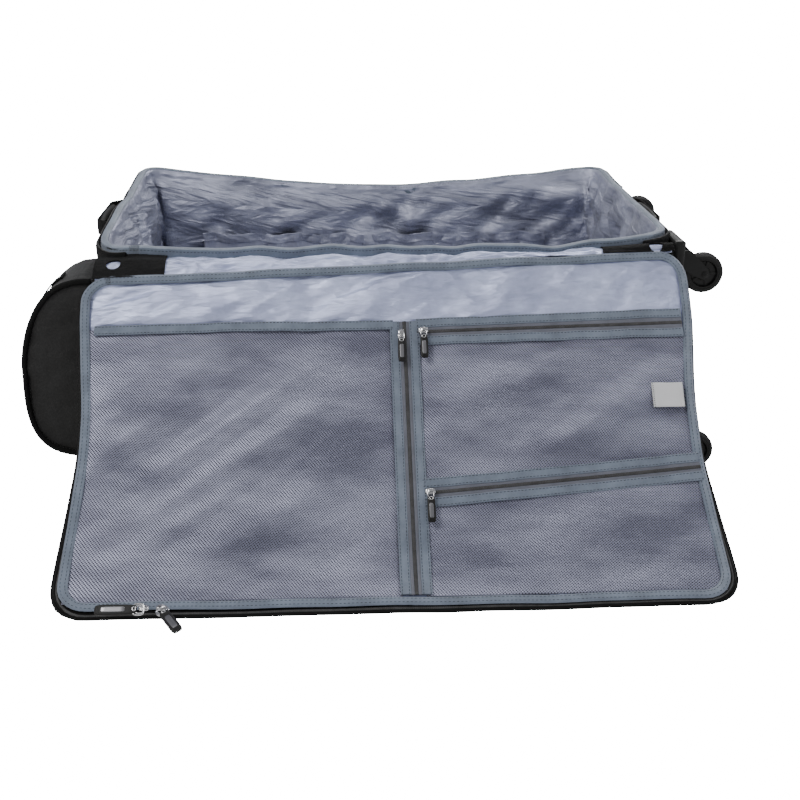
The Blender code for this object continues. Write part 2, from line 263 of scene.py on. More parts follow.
def ribbed_tape(name, dark, light, ribs=300, gloss=0.55):
    """Narrow woven tape with ribs across it."""
    shade = Shade(name, roughness=gloss, sheen=0.3)
    vector = shade.place()
    ribbing = shade.wave(vector, ribs, "X")
    cloudy = shade.noise(vector, 40, 4)
    both = shade.math("MULTIPLY_ADD", ribbing, 0.35)
    shade.tree.links.new(cloudy, both.node.inputs[2])
    shade.color(shade.ramp(both, [(0.35, dark), (0.95, light)]))
    shade.bump(ribbing, 0.0004)
    shade.bump(cloudy, 0.0006)
    return shade.material


def black_cloth(name, tone, threads=260, gloss=0.62):
    shade = Shade(name, roughness=gloss, sheen=0.01, specular=0.13)
    vector = shade.place()
    cloudy = shade.noise(vector, 22, 5)
    shade.color(shade.ramp(cloudy, [(0.3, (tone * 0.7,) * 3), (0.75, (tone * 1.5, tone * 1.5, tone * 1.7))]))
    shade.roughen(shade.noise(vector, 90, 3), gloss - 0.1, gloss + 0.12)
    weave(shade, threads, 0.0004)
    shade.bump(cloudy, 0.0020)
    return shade.material


def coated_cloth(name):
    """Smooth coated cloth that takes a soft highlight."""
    shade = Shade(name, roughness=0.34, specular=0.32)
    vector = shade.place(flat=False)
    cloudy = shade.noise(vector, 30, 5)
    shade.color(shade.ramp(cloudy, [(0.3, (0.0035,) * 3), (0.8, (0.0075, 0.0075, 0.0085))]))
    shade.roughen(shade.noise(vector, 160, 4), 0.30, 0.46)
    weave(shade, 300, 0.00025, flat=False)
    shade.bump(cloudy, 0.0025)
    return shade.material


def moulded(name, tone, gloss=0.45, grain=900, depth=0.00010):
    """Moulded plastic or rubber with a fine grain and slight scuffs."""
    shade = Shade(name, roughness=gloss, specular=0.25)
    vector = shade.place(flat=False)
    scuffs = shade.noise(vector, 70, 6, 0.7)
    shade.color(shade.ramp(scuffs, [(0.35, (tone,) * 3), (0.8, (tone * 2.0, tone * 2.0, tone * 2.1))]))
    shade.roughen(scuffs, gloss - 0.1, gloss + 0.15)
    shade.bump(shade.noise(vector, grain, 2), depth)
    return shade.material


def metal(name, tone, gloss=0.22, brush=0.0):
    shade = Shade(name, roughness=gloss, metallic=1.0)
    vector = shade.place((1, 1, 1) if not brush else (1, brush, brush), flat=False)
    streaks = shade.noise(vector, 320, 4)
    dark = tuple(0.8 * channel for channel in tone)
    shade.color(shade.ramp(streaks, [(0.3, dark), (0.7, tone)]))
    shade.roughen(streaks, gloss - 0.06, gloss + 0.14)
    shade.bump(streaks, 0.00004)
    return shade.material


MATERIALS = {
    # the satins' light colours are painted sheen highlights
    "satin": satin("lining_satin", (0.30, 0.33, 0.50), (0.60, 0.66, 0.92), 0.0030, 0.30),
    "satin_deep": satin("inside_satin", (0.20, 0.21, 0.28), (0.40, 0.42, 0.54), gloss=0.34),
    # the net's colour is darkened in streaks by painted fold shade
    "mesh": mesh_cloth("pocket_mesh", (0.028, 0.028, 0.042), (0.33, 0.34, 0.45)),
    "binding": ribbed_tape("binding_tape", (0.080, 0.100, 0.140), (0.19, 0.235, 0.315)),
    "zip_tape": ribbed_tape("inner_zip_tape", (0.085, 0.09, 0.125), (0.17, 0.18, 0.23), ribs=420),
    "coil": moulded("zip_coil", 0.040, 0.4),
    "thread": moulded("dark_thread", 0.022, 0.7),
    "black": black_cloth("outer_cloth", 0.0045),
    "black_tape": black_cloth("outer_tape", 0.0042, 420, 0.7),
    "coated": coated_cloth("pouch_cloth"),
    "plastic": moulded("black_plastic", 0.0045, 0.42),
    "rubber": moulded("wheel_rubber", 0.009, 0.62, 500, 0.0002),
    "pull_rubber": moulded("pull_rubber", 0.007, 0.5),
    "nickel": metal("zip_nickel", (0.62, 0.62, 0.64), 0.2),
    "insert": metal("brushed_insert", (0.22, 0.22, 0.235), 0.36, 14),
    "tube": metal("anodised_tube", (0.42, 0.43, 0.45), 0.3, 12),
    "label": ribbed_tape("label_cloth", (0.88, 0.88, 0.90), (0.96, 0.96, 0.98), ribs=700),
}

# ---------------------------------------------------------------- mesh tools


def finish_mesh(name, vertices, faces, material, uvs=None, thickness=0.0, offset=0.0, soft=True):
    """Makes the object, its flat map in metres, and its thickness."""
    mesh = bpy.data.meshes.new(name)
    mesh.from_pydata(vertices, [], faces)
    mesh.materials.append(MATERIALS[material])
    if uvs:
        layer = mesh.uv_layers.new(name="flat")
        for loop in mesh.loops:
            layer.data[loop.index].uv = uvs[loop.vertex_index]
    obj = bpy.data.objects.new(name, mesh)
    bpy.context.scene.collection.objects.link(obj)
    if soft:
        mesh.shade_smooth()
    if thickness:
        solidify = obj.modifiers.new("thickness", "SOLIDIFY")
        solidify.thickness = thickness
        solidify.offset = offset
        apply_modifiers(obj)
    return obj


def apply_modifiers(obj):
    graph = bpy.context.evaluated_depsgraph_get()
    made = bpy.data.meshes.new_from_object(obj.evaluated_get(graph))
    obj.modifiers.clear()
    old = obj.data
    obj.data = made
    bpy.data.meshes.remove(old)


def belt(low, high, count):
    """The faces of a closed belt between two rings of count points that start at low and high."""
    return [
        (low + index, low + (index + 1) % count, high + (index + 1) % count, high + index)
        for index in range(count)
    ]


def grid(name, place, columns, rows, material, thickness=0.0, offset=0.0, flat=None):
    """A sheet of columns by rows cells; place(u, v) gives each point, with u and v from 0 to 1."""
    vertices, uvs, faces = [], [], []
    width = columns + 1
    for row in range(rows + 1):
        for column in range(width):
            u, v = column / columns, row / rows
            point = Vector(place(u, v))
            vertices.append(point)
            uvs.append(flat(u, v) if flat else (point.x, point.y))
    for row in range(rows):
        faces += belt(row * width, (row + 1) * width, width)[:-1]
    return finish_mesh(name, vertices, faces, material, uvs, thickness, offset)


def sweep(name, path, ups, profile, material, closed=False):
    """A profile of (side, up) points carried along a path; its flat map runs along the path."""
    count, ring = len(path), len(profile)
    vertices, uvs, faces = [], [], []
    travelled = 0.0
    around = [0.0]
    for first, second in zip(profile, profile[1:]):
        around.append(around[-1] + math.dist(first, second))
    for index, (point, up) in enumerate(zip(path, ups)):
        before = path[index - 1] if closed or index else path[index]
        after = path[(index + 1) % count] if closed or index < count - 1 else path[index]
        along = (after - before).normalized()
        side = along.cross(up).normalized()
        rise = side.cross(along).normalized()
        if index:
            travelled += (point - path[index - 1]).length
        for (out, height), distance in zip(profile, around):
            vertices.append(point + side * out + rise * height)
            uvs.append((travelled, distance))
    steps = count if closed else count - 1
    for index in range(steps):
        faces += belt(index * ring, ((index + 1) % count) * ring, ring)
    if not closed:
        faces.append(tuple(range(ring))[::-1])
        faces.append(tuple((count - 1) * ring + corner for corner in range(ring)))
    obj = finish_mesh(name, vertices, faces, material, uvs)
    obj.data.set_sharp_from_angle(angle=math.radians(50))
    fix_normals(obj)
    return obj


def fix_normals(obj):
    bm = bmesh.new()
    bm.from_mesh(obj.data)
    bmesh.ops.recalc_face_normals(bm, faces=bm.faces)
    bm.to_mesh(obj.data)
    bm.free()


def resample(path, spacing, closed=False):
    """(points, stations): points set every spacing metres along the path, and their path indices."""
    points = list(path) + ([path[0]] if closed else [])
    found, stations = [], []
    need = spacing / 2
    travelled = 0.0
    for index, (first, second) in enumerate(zip(points, points[1:])):
        length = (second - first).length
        while length and travelled + length >= need:
            share = (need - travelled) / length
            found.append(first.lerp(second, share))
            stations.append(index)
            need += spacing
        travelled += length
    return found, stations


def studs(name, path, ups, spacing, size, material, out=0.0, height=0.0, closed=False, lean=0.0):
    """Small rounded bars set along a path: stitches or the teeth of a zip. size is (along, side, up)."""
    vertices, faces = [], []
    points, stations = resample(path, spacing, closed)
    count = len(path)
    half = [length / 2 for length in size]
    for point, station in zip(points, stations):
        along = (path[(station + 1) % count] - path[station]).normalized()
        up = ups[station]
        side = along.cross(up).normalized()
        rise = side.cross(along).normalized()
        middle = point + side * out + rise * height
        turned_along = (along + side * lean).normalized()
        turned_side = (side - along * lean).normalized()
        start = len(vertices)
        for a, s, r in (
            (-1, -0.6, 0), (-1, 0.6, 0), (1, 0.6, 0), (1, -0.6, 0),
            (-0.6, -0.5, 1), (-0.6, 0.5, 1), (0.6, 0.5, 1), (0.6, -0.5, 1),
        ):
            vertices.append(
                middle + turned_along * a * half[0] + turned_side * s * half[1] * 2 + rise * r * half[2] * 2
            )
        for face in ((3, 2, 1, 0), (4, 5, 6, 7), (0, 1, 5, 4), (1, 2, 6, 5), (2, 3, 7, 6), (3, 0, 4, 7)):
            faces.append(tuple(start + corner for corner in face))
    return finish_mesh(name, vertices, faces, material)


def flat_profile(width, height):
    """The section of a soft tape: flat with rounded edges, its inner side at zero height."""
    half = width / 2
    return [
        (-half, 0.0),
        (-half - height * 0.35, height * 0.5),
        (-half, height),
        (-half * 0.4, height * 1.15),
        (half * 0.4, height * 1.15),
        (half, height),
        (half + height * 0.35, height * 0.5),
        (half, 0.0),
    ]


def circle(radius, sides=10):
    turn = 2 * math.pi / sides
    return [(radius * math.cos(turn * step), radius * math.sin(turn * step)) for step in range(sides)]


# ---------------------------------------------------------------- the bag's body


def outline(half_x, half_y, near, far=None, sides=(64, 36), corner=7):
    """Points (x, y, out_x, out_y) round a rectangle with round corners, from its near left corner."""
    far = near if far is None else far
    near_x, near_y, far_x, far_y = half_x - near, half_y - near, half_x - far, half_y - far
    legs = (
        ((-near_x, -half_y), (near_x, -half_y), (0, -1), sides[0], (near_x, -near_y), -90, near),
        ((half_x, -near_y), (half_x, far_y), (1, 0), sides[1], (far_x, far_y), 0, far),
        ((far_x, half_y), (-far_x, half_y), (0, 1), sides[0], (-far_x, far_y), 90, far),
        ((-half_x, far_y), (-half_x, -near_y), (-1, 0), sides[1], (-near_x, -near_y), 180, near),
    )
    found = []
    for start, end, out, steps, centre, first_angle, radius in legs:
        for step in range(steps + 1):
            share = step / steps
            x = start[0] + (end[0] - start[0]) * share
            y = start[1] + (end[1] - start[1]) * share
            found.append((x, y, *out))
        for step in range(1, corner):
            angle = math.radians(first_angle + 90 * step / corner)
            ox, oy = math.cos(angle), math.sin(angle)
            found.append((centre[0] + radius * ox, centre[1] + radius * oy, ox, oy))
    return found


def rim_z(x, y):
    """Height of the open rim: the near side hangs a little, and the far side sags between its corners."""
    near = smooth(0.30, 1.0, -y / HALF_W) * (1 - 0.9 * smooth(0.20, 0.33, x))
    far = smooth(0.55, 1.0, y / HALF_W)
    middle = math.cos(min(abs(x) / HALF_L, 1.0) * math.pi / 2)
    drop = near * (0.0135 + 0.005 * rough(x, 0, 22, 5.2)) + 0.026 * far * middle**1.3 - 0.008 * far
    return RIM_HEIGHT - 0.001 - drop + 0.003 * rough(x, y, 14, 3.1)


def rim_push(x, y):
    """How far the rim leans in from the straight wall."""
    far = smooth(0.55, 1.0, y / HALF_W)
    return 0.012 * far * math.cos(min(abs(x) / HALF_L, 1.0) * math.pi / 2) + 0.003 * rough(x, y, 16, 8.0)


def rim_corner(share):
    """The radii of the walls' near and far corners: towards the rim the near ones open out."""
    grow = smooth(0.5, 1.0, share)
    return 0.030 + 0.022 * grow, 0.030 - 0.004 * grow


def loft(name, levels, material, thickness=0.0, offset=0.0, bottom=False):
    """Rings of points, joined up; the flat map runs round and up the wall."""
    count = len(levels[0])
    vertices = [point for level in levels for point in level]
    uvs = []
    for level in levels:
        travelled = 0.0
        for index, point in enumerate(level):
            if index:
                travelled += math.hypot(point.x - level[index - 1].x, point.y - level[index - 1].y)
            uvs.append((travelled, point.z))
    faces = []
    for level in range(len(levels) - 1):
        faces += belt(level * count, (level + 1) * count, count)
    if bottom:
        faces.append(tuple(range(count))[::-1])
    return finish_mesh(name, vertices, faces, material, uvs, thickness, offset)


def wall_ring(share, inset, folds=0.0, base=0.0):
    """One level of a wall at that share of the height; folds is how deep the cloth's folds go in."""
    ring = []
    half_x, half_y = HALF_L - SKIN - inset, HALF_W - SKIN - inset
    for x, y, ox, oy in outline(half_x, half_y, *(radius - inset * 0.5 for radius in rim_corner(share))):
        z = base + (rim_z(x, y) - base) * share
        inward = rim_push(x, y) * smooth(0.35, 1.0, share)
        if folds:
            around = x * abs(oy) + y * abs(ox)
            drape = noise.noise(Vector((around * 15 + share * 4, share * 3.0, 4.0 + ox + 2 * oy)))
            pleat = abs(noise.noise(Vector((around * 24 - share * 6, share * 4.5, 9.0 + ox - oy))))
            inward += folds * smooth(1.01, 0.86, share) * (0.75 + 1.3 * drape + 2.4 * (0.35 - pleat))
        else:
            dent = noise.noise(Vector((x * 9, y * 9, z * 14)))
            inward += 0.012 * (1 - smooth(0.0, 0.06, share)) - 0.004 * math.sin(math.pi * share) * abs(oy)
            inward += (0.0025 * dent + 0.0025) * abs(oy) * math.sin(math.pi * min(share, 0.98))
        ring.append(Vector((x - ox * inward, y - oy * inward, z)))
    return ring


def bag_shell():
    """The black outer cloth, the satin lining inside it and the floor."""
    shares = [0.0, 0.008, 0.02, 0.04, 0.07] + [0.1 + 0.9 * step / 22 for step in range(23)]
    outer = loft("outer_shell", [wall_ring(share, 0.0) for share in shares], "black", bottom=True)
    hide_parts("near_wall", "far_wall", "handle_end_wall", "wheel_end_wall", "back_panel")
    levels = [wall_ring(step / 44, WALL, 0.010, FLOOR_Z - 0.004) for step in range(45)]
    inside = loft("wall_lining", levels, "satin_deep", thickness=0.0008, offset=-1)

    def floor_point(u, v):
        x, y = (u - 0.5) * 2 * (HALF_L - 0.010), (v - 0.5) * 2 * (HALF_W - 0.010)
        crease = 0.014 * abs(rough(x, y, 9, 2.0)) + 0.005 * rough(x + y, y - x, 24, 5.0)
        return (x, y, FLOOR_Z + 0.003 + crease)

    floor = grid("floor_satin", floor_point, 90, 56, "satin_deep", thickness=0.001)
    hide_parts("floor_lining")
    for obj in (outer, inside, floor):
        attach(obj, "bag_body")


NEAR_SIDE = 65  # how many points of an outline come before its first corner


def rim_paths(inset):
    """The rim as (points, inward directions), closed."""
    points, inward = [], []
    radii = (radius - inset * 0.5 for radius in rim_corner(1.0))
    for x, y, ox, oy in outline(HALF_L - SKIN - inset, HALF_W - SKIN - inset, *radii):
        lean = rim_push(x, y)
        points.append(Vector((x - ox * lean, y - oy * lean, rim_z(x, y))))
        inward.append(Vector((-ox, -oy, 0)))
    return points, inward


def rim_trim():
    """Slate tape folded over the rim with two rows of stitches, and the black zip tape outside it."""
    up = Vector((0, 0, 1))
    points, inward = rim_paths(0.0038)
    ups = [up] * len(points)
    fold = [
        (-0.0046, -0.0115), (-0.0051, -0.006), (-0.0044, 0.0006), (-0.0020, 0.0022), (0.0020, 0.0022),
        (0.0044, 0.0006), (0.0051, -0.006), (0.0046, -0.0115),
    ]
    binding = sweep("rim_binding", points, ups, fold, "binding", closed=True)
    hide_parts("hinge_tape")
    pieces = [binding]
    outward = [-turn for turn in inward]
    for name, facing in (("inner", inward), ("outer", outward)):
        for index, down in enumerate((0.0022, 0.0094)):
            low = [point - up * down for point in points]
            row = studs(
                f"rim_stitches_{name}_{index}", low, facing, STITCH_STEP, STITCH, "thread",
                height=0.0047, closed=True,
            )
            pieces.append(row)
    three_sides = [point - up * 0.0035 for point in rim_paths(-0.0042)[0][NEAR_SIDE:]]
    ups = [up] * len(three_sides)
    tape = [
        (-0.0022, -0.016), (-0.0026, -0.002), (-0.0012, 0.0),
        (0.0012, 0.0), (0.0026, -0.002), (0.0022, -0.016),
    ]
    band = sweep("rim_zip_tape", three_sides, ups, tape, "black_tape")
    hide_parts("body_zip_tape")
    pieces.append(band)
    tooth = (0.0011, 0.0016, 0.0008)
    pieces.append(studs("rim_zip_teeth", three_sides, ups, TOOTH_STEP, tooth, "coil", height=0.0002))
    lower = [point - up * 0.021 for point in rim_paths(-0.0020)[0]]
    pieces.append(sweep("rim_piping", lower[NEAR_SIDE:], ups, circle(0.0021), "black_tape"))
    for obj in pieces:
        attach(obj, "bag_body")


def far_pocket():
    """The gathered satin pocket on the inside of the far wall, with its elastic top band."""
    (x_low, _, z_low), (x_high, _, z_high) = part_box("inner_pocket")
    face = HALF_W - WALL - 0.004

    def place(u, v):
        x = x_low + (x_high - x_low) * u
        z = z_low + (z_high - z_low) * v
        gather = 0.0028 * math.sin(x * 190 + 3 * rough(x, z, 8)) * smooth(0.4, 1.0, v)
        belly = 0.012 * math.sin(math.pi * v) * (0.8 + 0.6 * rough(x, z, 7, 6.0))
        lean = rim_push(x, HALF_W) * smooth(0.35, 1.0, z / RIM_HEIGHT)
        return (x, face - 0.010 - belly - gather - lean, z + 0.002 * math.sin(x * 95))

    cloth = grid("far_wall_pocket", place, 220, 26, "satin_deep", thickness=0.0008)
    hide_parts("inner_pocket")
    path = [Vector(place(step / 180, 0.97)) + Vector((0, -0.0012, 0)) for step in range(181)]
    facing = [Vector((0, -1, 0))] * len(path)
    band = sweep("far_pocket_band", path, facing, flat_profile(0.012, 0.0015), "satin_deep")
    rows = [
        studs(
            f"far_pocket_stitches_{index}", path, facing, STITCH_STEP, STITCH, "thread",
            out=out, height=0.0010,
        )
        for index, out in enumerate((-0.0045, 0.0045))
    ]
    for obj in (cloth, band, *rows):
        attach(obj, "bag_body")


# ---------------------------------------------------------------- the lid


def lid_sag(x, y):
    """How far the lid hangs out of its plane at a point of it."""
    share = min(max(y / LID_LENGTH, 0.0), 1.0)
    soft = (1 - (1 - share) ** 5) * (1 - share**14)
    ripple = 0.0035 * rough(x, y, 5.5, 1.0) * soft
    return LID_SAG * soft * (1 - 0.10 * abs(x) / HALF_L) + ripple


def lid_point(x, y, lift=0.0):
    """A point of the lid's inner face in the bag's frame; lift raises it off that face."""
    tilted = y + (TOP_DROP - TOP_TILT * x / HALF_L) * (1 - smooth(0.0, 0.11, y))
    return LID @ Vector((x, tilted, lid_sag(x, y) - lift))


def lid_up(x, y):
    step = 0.004
    across = lid_point(x + step, y) - lid_point(x - step, y)
    along = lid_point(x, y + step) - lid_point(x, y - step)
    return along.cross(across).normalized()


def flare(y):
    """The lid spreads a little at its hinge side and towards its free edge."""
    return 0.009 * (1 - smooth(0.06, 0.20, y)) + 0.011 * smooth(0.22, 0.42, y)


def lid_half_width(y, inset, radius):
    low, high = inset + 0.002, LID_LENGTH - inset
    gap = min(y - low, high - y)
    half = HALF_L + flare(y) - inset
    if gap < radius:
        reach = radius - max(gap, 0.0)
        half -= radius - math.sqrt(max(radius * radius - reach * reach, 0.0))
    return half


def lid_edge(inset, lift, radius=0.030, waver=0.0, spread=0.0):
    """The lid's outline, drawn in by inset and let out by spread at its free end: (points, ups)."""
    middle = (LID_LENGTH + 0.002) / 2
    points, ups = [], []
    for x, y, ox, oy in outline(HALF_L - inset, middle - inset - 0.001, radius):
        y += middle
        x *= 1 + flare(y) / HALF_L
        let_out = spread * smooth(0.20, 0.42, y)
        x -= ox * (waver * (0.6 + rough(x, y, 13, 6.5)) - let_out * (0.55 + 0.10 * x / HALF_L))
        y -= oy * (waver * (0.6 + rough(x, y, 13, 7.5)) - let_out * (0.50 - 0.18 * x / HALF_L))
        point = lid_point(x, y, lift + waver * 0.8 * rough(x, y, 21, 2.5))
        point.z = max(point.z, 0.0035)
        points.append(point)
        ups.append(lid_up(x, y))
    return points, ups


def lid_shell():
    """The lid's black outer side and its satin inner side."""
    def sheet(inset, lift, crease):
        def place(u, v):
            y = inset + 0.002 + (LID_LENGTH - 2 * inset - 0.002) * v
            x = (2 * u - 1) * lid_half_width(y, inset, 0.032 if inset < 0.004 else 0.022)
            return lid_point(x, y, lift + crease(x, y))

        return place

    def satin_crease(x, y):
        strip = (1 - smooth(POCKET_TOP - 0.016, POCKET_TOP, y)) * smooth(0.006, 0.026, y)
        strip *= smooth(0.008, 0.030, HALF_L + flare(y) - abs(x))
        diagonal = noise.noise(Vector((x * 13 + y * 26, y * 8 - x * 6, 1.7)))
        ridge = 0.4 - abs(noise.noise(Vector((x * 22 + y * 44, y * 14 - x * 8, 6.7))))
        fine = noise.noise(Vector((x * 48 + y * 60, y * 30 - x * 12, 4.7)))
        return max(strip * (0.0020 + 0.0085 * diagonal + 0.0085 * ridge + 0.0016 * fine), -0.0014)

    def flat(u, v):
        return ((2 * u - 1) * HALF_L, v * LID_LENGTH)

    outer = grid("lid_outer", sheet(0.002, -0.006, lambda x, y: 0.0), 80, 50, "black", 0.004, 0, flat)
    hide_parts("lid_panel", "lid_band")
    inner = grid("lid_lining", sheet(0.0055, 0.001, satin_crease), 200, 110, "satin", 0.0008, 0, flat)
    for obj in (outer, inner):
        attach(obj, "lid")


def lid_trim():
    """The slate binding with its stitches, and on the three free sides the black zip bands outside it."""
    points, ups = lid_edge(0.0060, 0.0030, 0.029, 0.0022)
    pieces = [sweep("lid_binding", points, ups, flat_profile(TAPE, 0.0024), "binding", closed=True)]
    for index, out in enumerate((-0.0024, 0.0026)):
        row = studs(
            f"lid_stitches_{index}", points, ups, 0.0044, (0.0027, 0.0004, 0.0003), "thread",
            out=out, height=0.0026, closed=True,
        )
        pieces.append(row)
    for name, inset, lift, spread, profile in (
        ("lid_zip_band", 0.0070, -0.0030, 0.0090, flat_profile(0.014, 0.0035)),
        ("lid_edge_band", 0.0060, -0.0095, 0.0130, flat_profile(0.016, 0.0040)),
        ("lid_piping", 0.0020, -0.0040, 0.0125, circle(0.0021)),
        ("lid_zip_coil", 0.0045, 0.0004, 0.0105, circle(0.0016, 8)),
    ):
        points, ups = lid_edge(inset, lift, 0.030, 0.0014, spread)
        points, ups = points[NEAR_SIDE:], ups[NEAR_SIDE:]
        material = "coil" if name == "lid_zip_coil" else "black_tape"
        pieces.append(sweep(name, points, ups, profile, material))
    tooth = (0.0011, 0.0018, 0.0008)
    pieces.append(studs("lid_zip_teeth", points, ups, TOOTH_STEP, tooth, "coil", height=0.0012))
    for obj in pieces:
        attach(obj, "lid")


def strip(name, ends, width, lift, material, height=0.0014, steps=90, stitched=True, waver=0.0):
    """A flat tape between two places on the lid, with a row of stitches along each edge."""
    (x0, y0), (x1, y1) = ends
    path, ups = [], []
    for step in range(steps + 1):
        x, y = x0 + (x1 - x0) * step / steps, y0 + (y1 - y0) * step / steps
        wave = waver * rough(x, y, 30, 3.3)
        path.append(lid_point(x, y + wave, lift + 0.5 * abs(wave)))
        ups.append(lid_up(x, y))
    tape = sweep(name, path, ups, flat_profile(width, height), material)
    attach(tape, "lid")
    if stitched:
        for index, side in enumerate((-1, 1)):
            row = studs(
                f"{name}_stitches_{index}", path, ups, 0.0040, (0.0025, 0.0004, 0.0003), "thread",
                out=side * (width / 2 - 0.0014), height=height * 1.1,
            )
            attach(row, "lid")
    return tape


def zip_run(name, start, end, node):
    """Two tapes with a zip between them, from one place on the lid to another."""
    direction = Vector((end[0] - start[0], end[1] - start[1])).normalized()
    out = Vector((-direction.y, direction.x))
    side = ZIP_WIDTH / 2 - 0.0052
    for index, shift in enumerate((-side, side)):
        ends = [(x + out.x * shift, y + out.y * shift) for x, y in (start, end)]
        tape = strip(f"{name}_tape_{index}", ends, 0.0104, 0.0048, "binding", waver=0.0008)
        if not index:
            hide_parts(node)
    strip(f"{name}_bed", (start, end), 0.0150, 0.0044, "zip_tape", 0.0008, stitched=False)
    path, ups = [], []
    for step in range(91):
        x, y = (start[axis] + (end[axis] - start[axis]) * step / 90 for axis in (0, 1))
        path.append(lid_point(x, y, 0.0052))
        ups.append(lid_up(x, y))
    profile = [(-0.0022, 0), (-0.0016, 0.0009), (0.0016, 0.0009), (0.0022, 0)]
    coil = sweep(f"{name}_coil", path, ups, profile, "coil")
    tooth = (0.0009, 0.0026, 0.0005)
    teeth = studs(f"{name}_teeth", path, ups, 0.0017, tooth, "coil", height=0.0008, lean=0.25)
    for obj in (coil, teeth):
        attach(obj, "lid")


def zip_y(ends, x):
    left = DIVIDER_X + ZIP_WIDTH / 2
    return ends[0] + (ends[1] - ends[0]) * (x - left) / (POCKET_SIDE - left)


def mesh_pocket(name, node, left, right, top, bottom, seed):
    """A slack net pocket between its seams; top and bottom are heights on the lid at a given x."""

    def place(u, v):
        x = left + (right - left) * u
        y = top(x) + (bottom(x) - top(x)) * v
        puff = math.sin(math.pi * u) ** 0.6 * math.sin(math.pi * v) ** 0.6
        fold = noise.noise(Vector((x * 8 + y * 12, (y - x) * 2.4, seed)))
        crease = noise.noise(Vector((x * 24 + y * 34, (y - x) * 6, seed + 3)))
        x += math.copysign(flare(y), x) * (x / POCKET_SIDE) ** 4
        return lid_point(x, y, 0.0026 + puff * max(0.0060 + 0.0170 * fold + 0.0045 * crease, -0.0008))

    def flat(u, v):
        x = left + (right - left) * u
        return (x, top(x) + (bottom(x) - top(x)) * v)

    cloth = grid(name, place, 150, 130, "mesh", 0.0007, 0, flat)
    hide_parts(node)
    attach(cloth, "lid")


def lid_pockets():
    low = LID_LENGTH - 0.012
    divider_left, divider_right = DIVIDER_X - 0.013, DIVIDER_X + 0.013
    side = POCKET_SIDE + 0.004
    mesh_pocket(
        "net_left", "mesh_pocket_left", -side, divider_left,
        lambda x: POCKET_TOP - 0.002, lambda x: low, 2.0,
    )
    mesh_pocket(
        "net_upper", "mesh_pocket_upper", divider_right, side,
        lambda x: zip_y(UPPER_ZIP_Y, x) + NET_SEAM, lambda x: zip_y(LOWER_ZIP_Y, x) - NET_SEAM, 5.0,
    )
    mesh_pocket(
        "net_lower", "mesh_pocket_lower", divider_right, side,
        lambda x: zip_y(LOWER_ZIP_Y, x) + NET_SEAM, lambda x: low, 8.0,
    )
    hem = ((-side, POCKET_TOP), (divider_left, POCKET_TOP - 0.002))
    strip("left_pocket_band", hem, 0.011, 0.0050, "binding", waver=0.0015)
    free_end = (DIVIDER_X + 0.002, low - 0.002)
    zip_run("divider_zip", (DIVIDER_X, POCKET_TOP - 0.006), free_end, "divider_zip_tape")
    for name, ends in (("upper_zip", UPPER_ZIP_Y), ("lower_zip", LOWER_ZIP_Y)):
        start = (divider_right + 0.001, zip_y(ends, divider_right))
        zip_run(name, start, (side + 0.004, zip_y(ends, side)), f"{name}_tape")


def care_label():
    """A blank woven label, sewn flat on the net with a row of stitches along one end."""
    low, high = (LID.inverted() @ Vector(corner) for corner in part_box("care_label"))
    x_low, x_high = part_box("care_label")[0][0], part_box("care_label")[1][0]
    y_low, y_high = sorted((low.y, high.y))
    middle = (y_low + y_high) / 2

    def place(u, v):
        x = x_low + (x_high - x_low) * u
        y = middle + (v - 0.5) * 0.030
        return lid_point(x, y, 0.0105 + 0.0010 * rough(x, y, 60, 4.4))

    label = grid("care_label_cloth", place, 24, 20, "label", 0.0006, 0)
    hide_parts("care_label")
    edge = [Vector(place(0.04, step / 30)) for step in range(31)]
    ups, size = [lid_up(x_low, middle)] * len(edge), (0.0016, 0.0004, 0.0003)
    seam = studs("care_label_stitches", edge, ups, 0.0026, size, "thread", height=0.0006)
    for obj in (label, seam):
        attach(obj, "lid")


# ---------------------------------------------------------------- the hinge strip


def gusset_point(x, share, lift=0.0):
    """The soft hinge from under the rim's tape at share 0 to the lid's top edge at share 1."""
    near = Vector((x, -HALF_W + 0.0004, rim_z(x, -HALF_W) - 0.0100))
    far = lid_point(x, 0.0030, 0.0020)
    out = Vector((0, far.z - near.z, near.y - far.y)).normalized()
    return near.lerp(far, share) + out * (0.004 * math.sin(math.pi * min(max(share, 0), 1)) + lift)


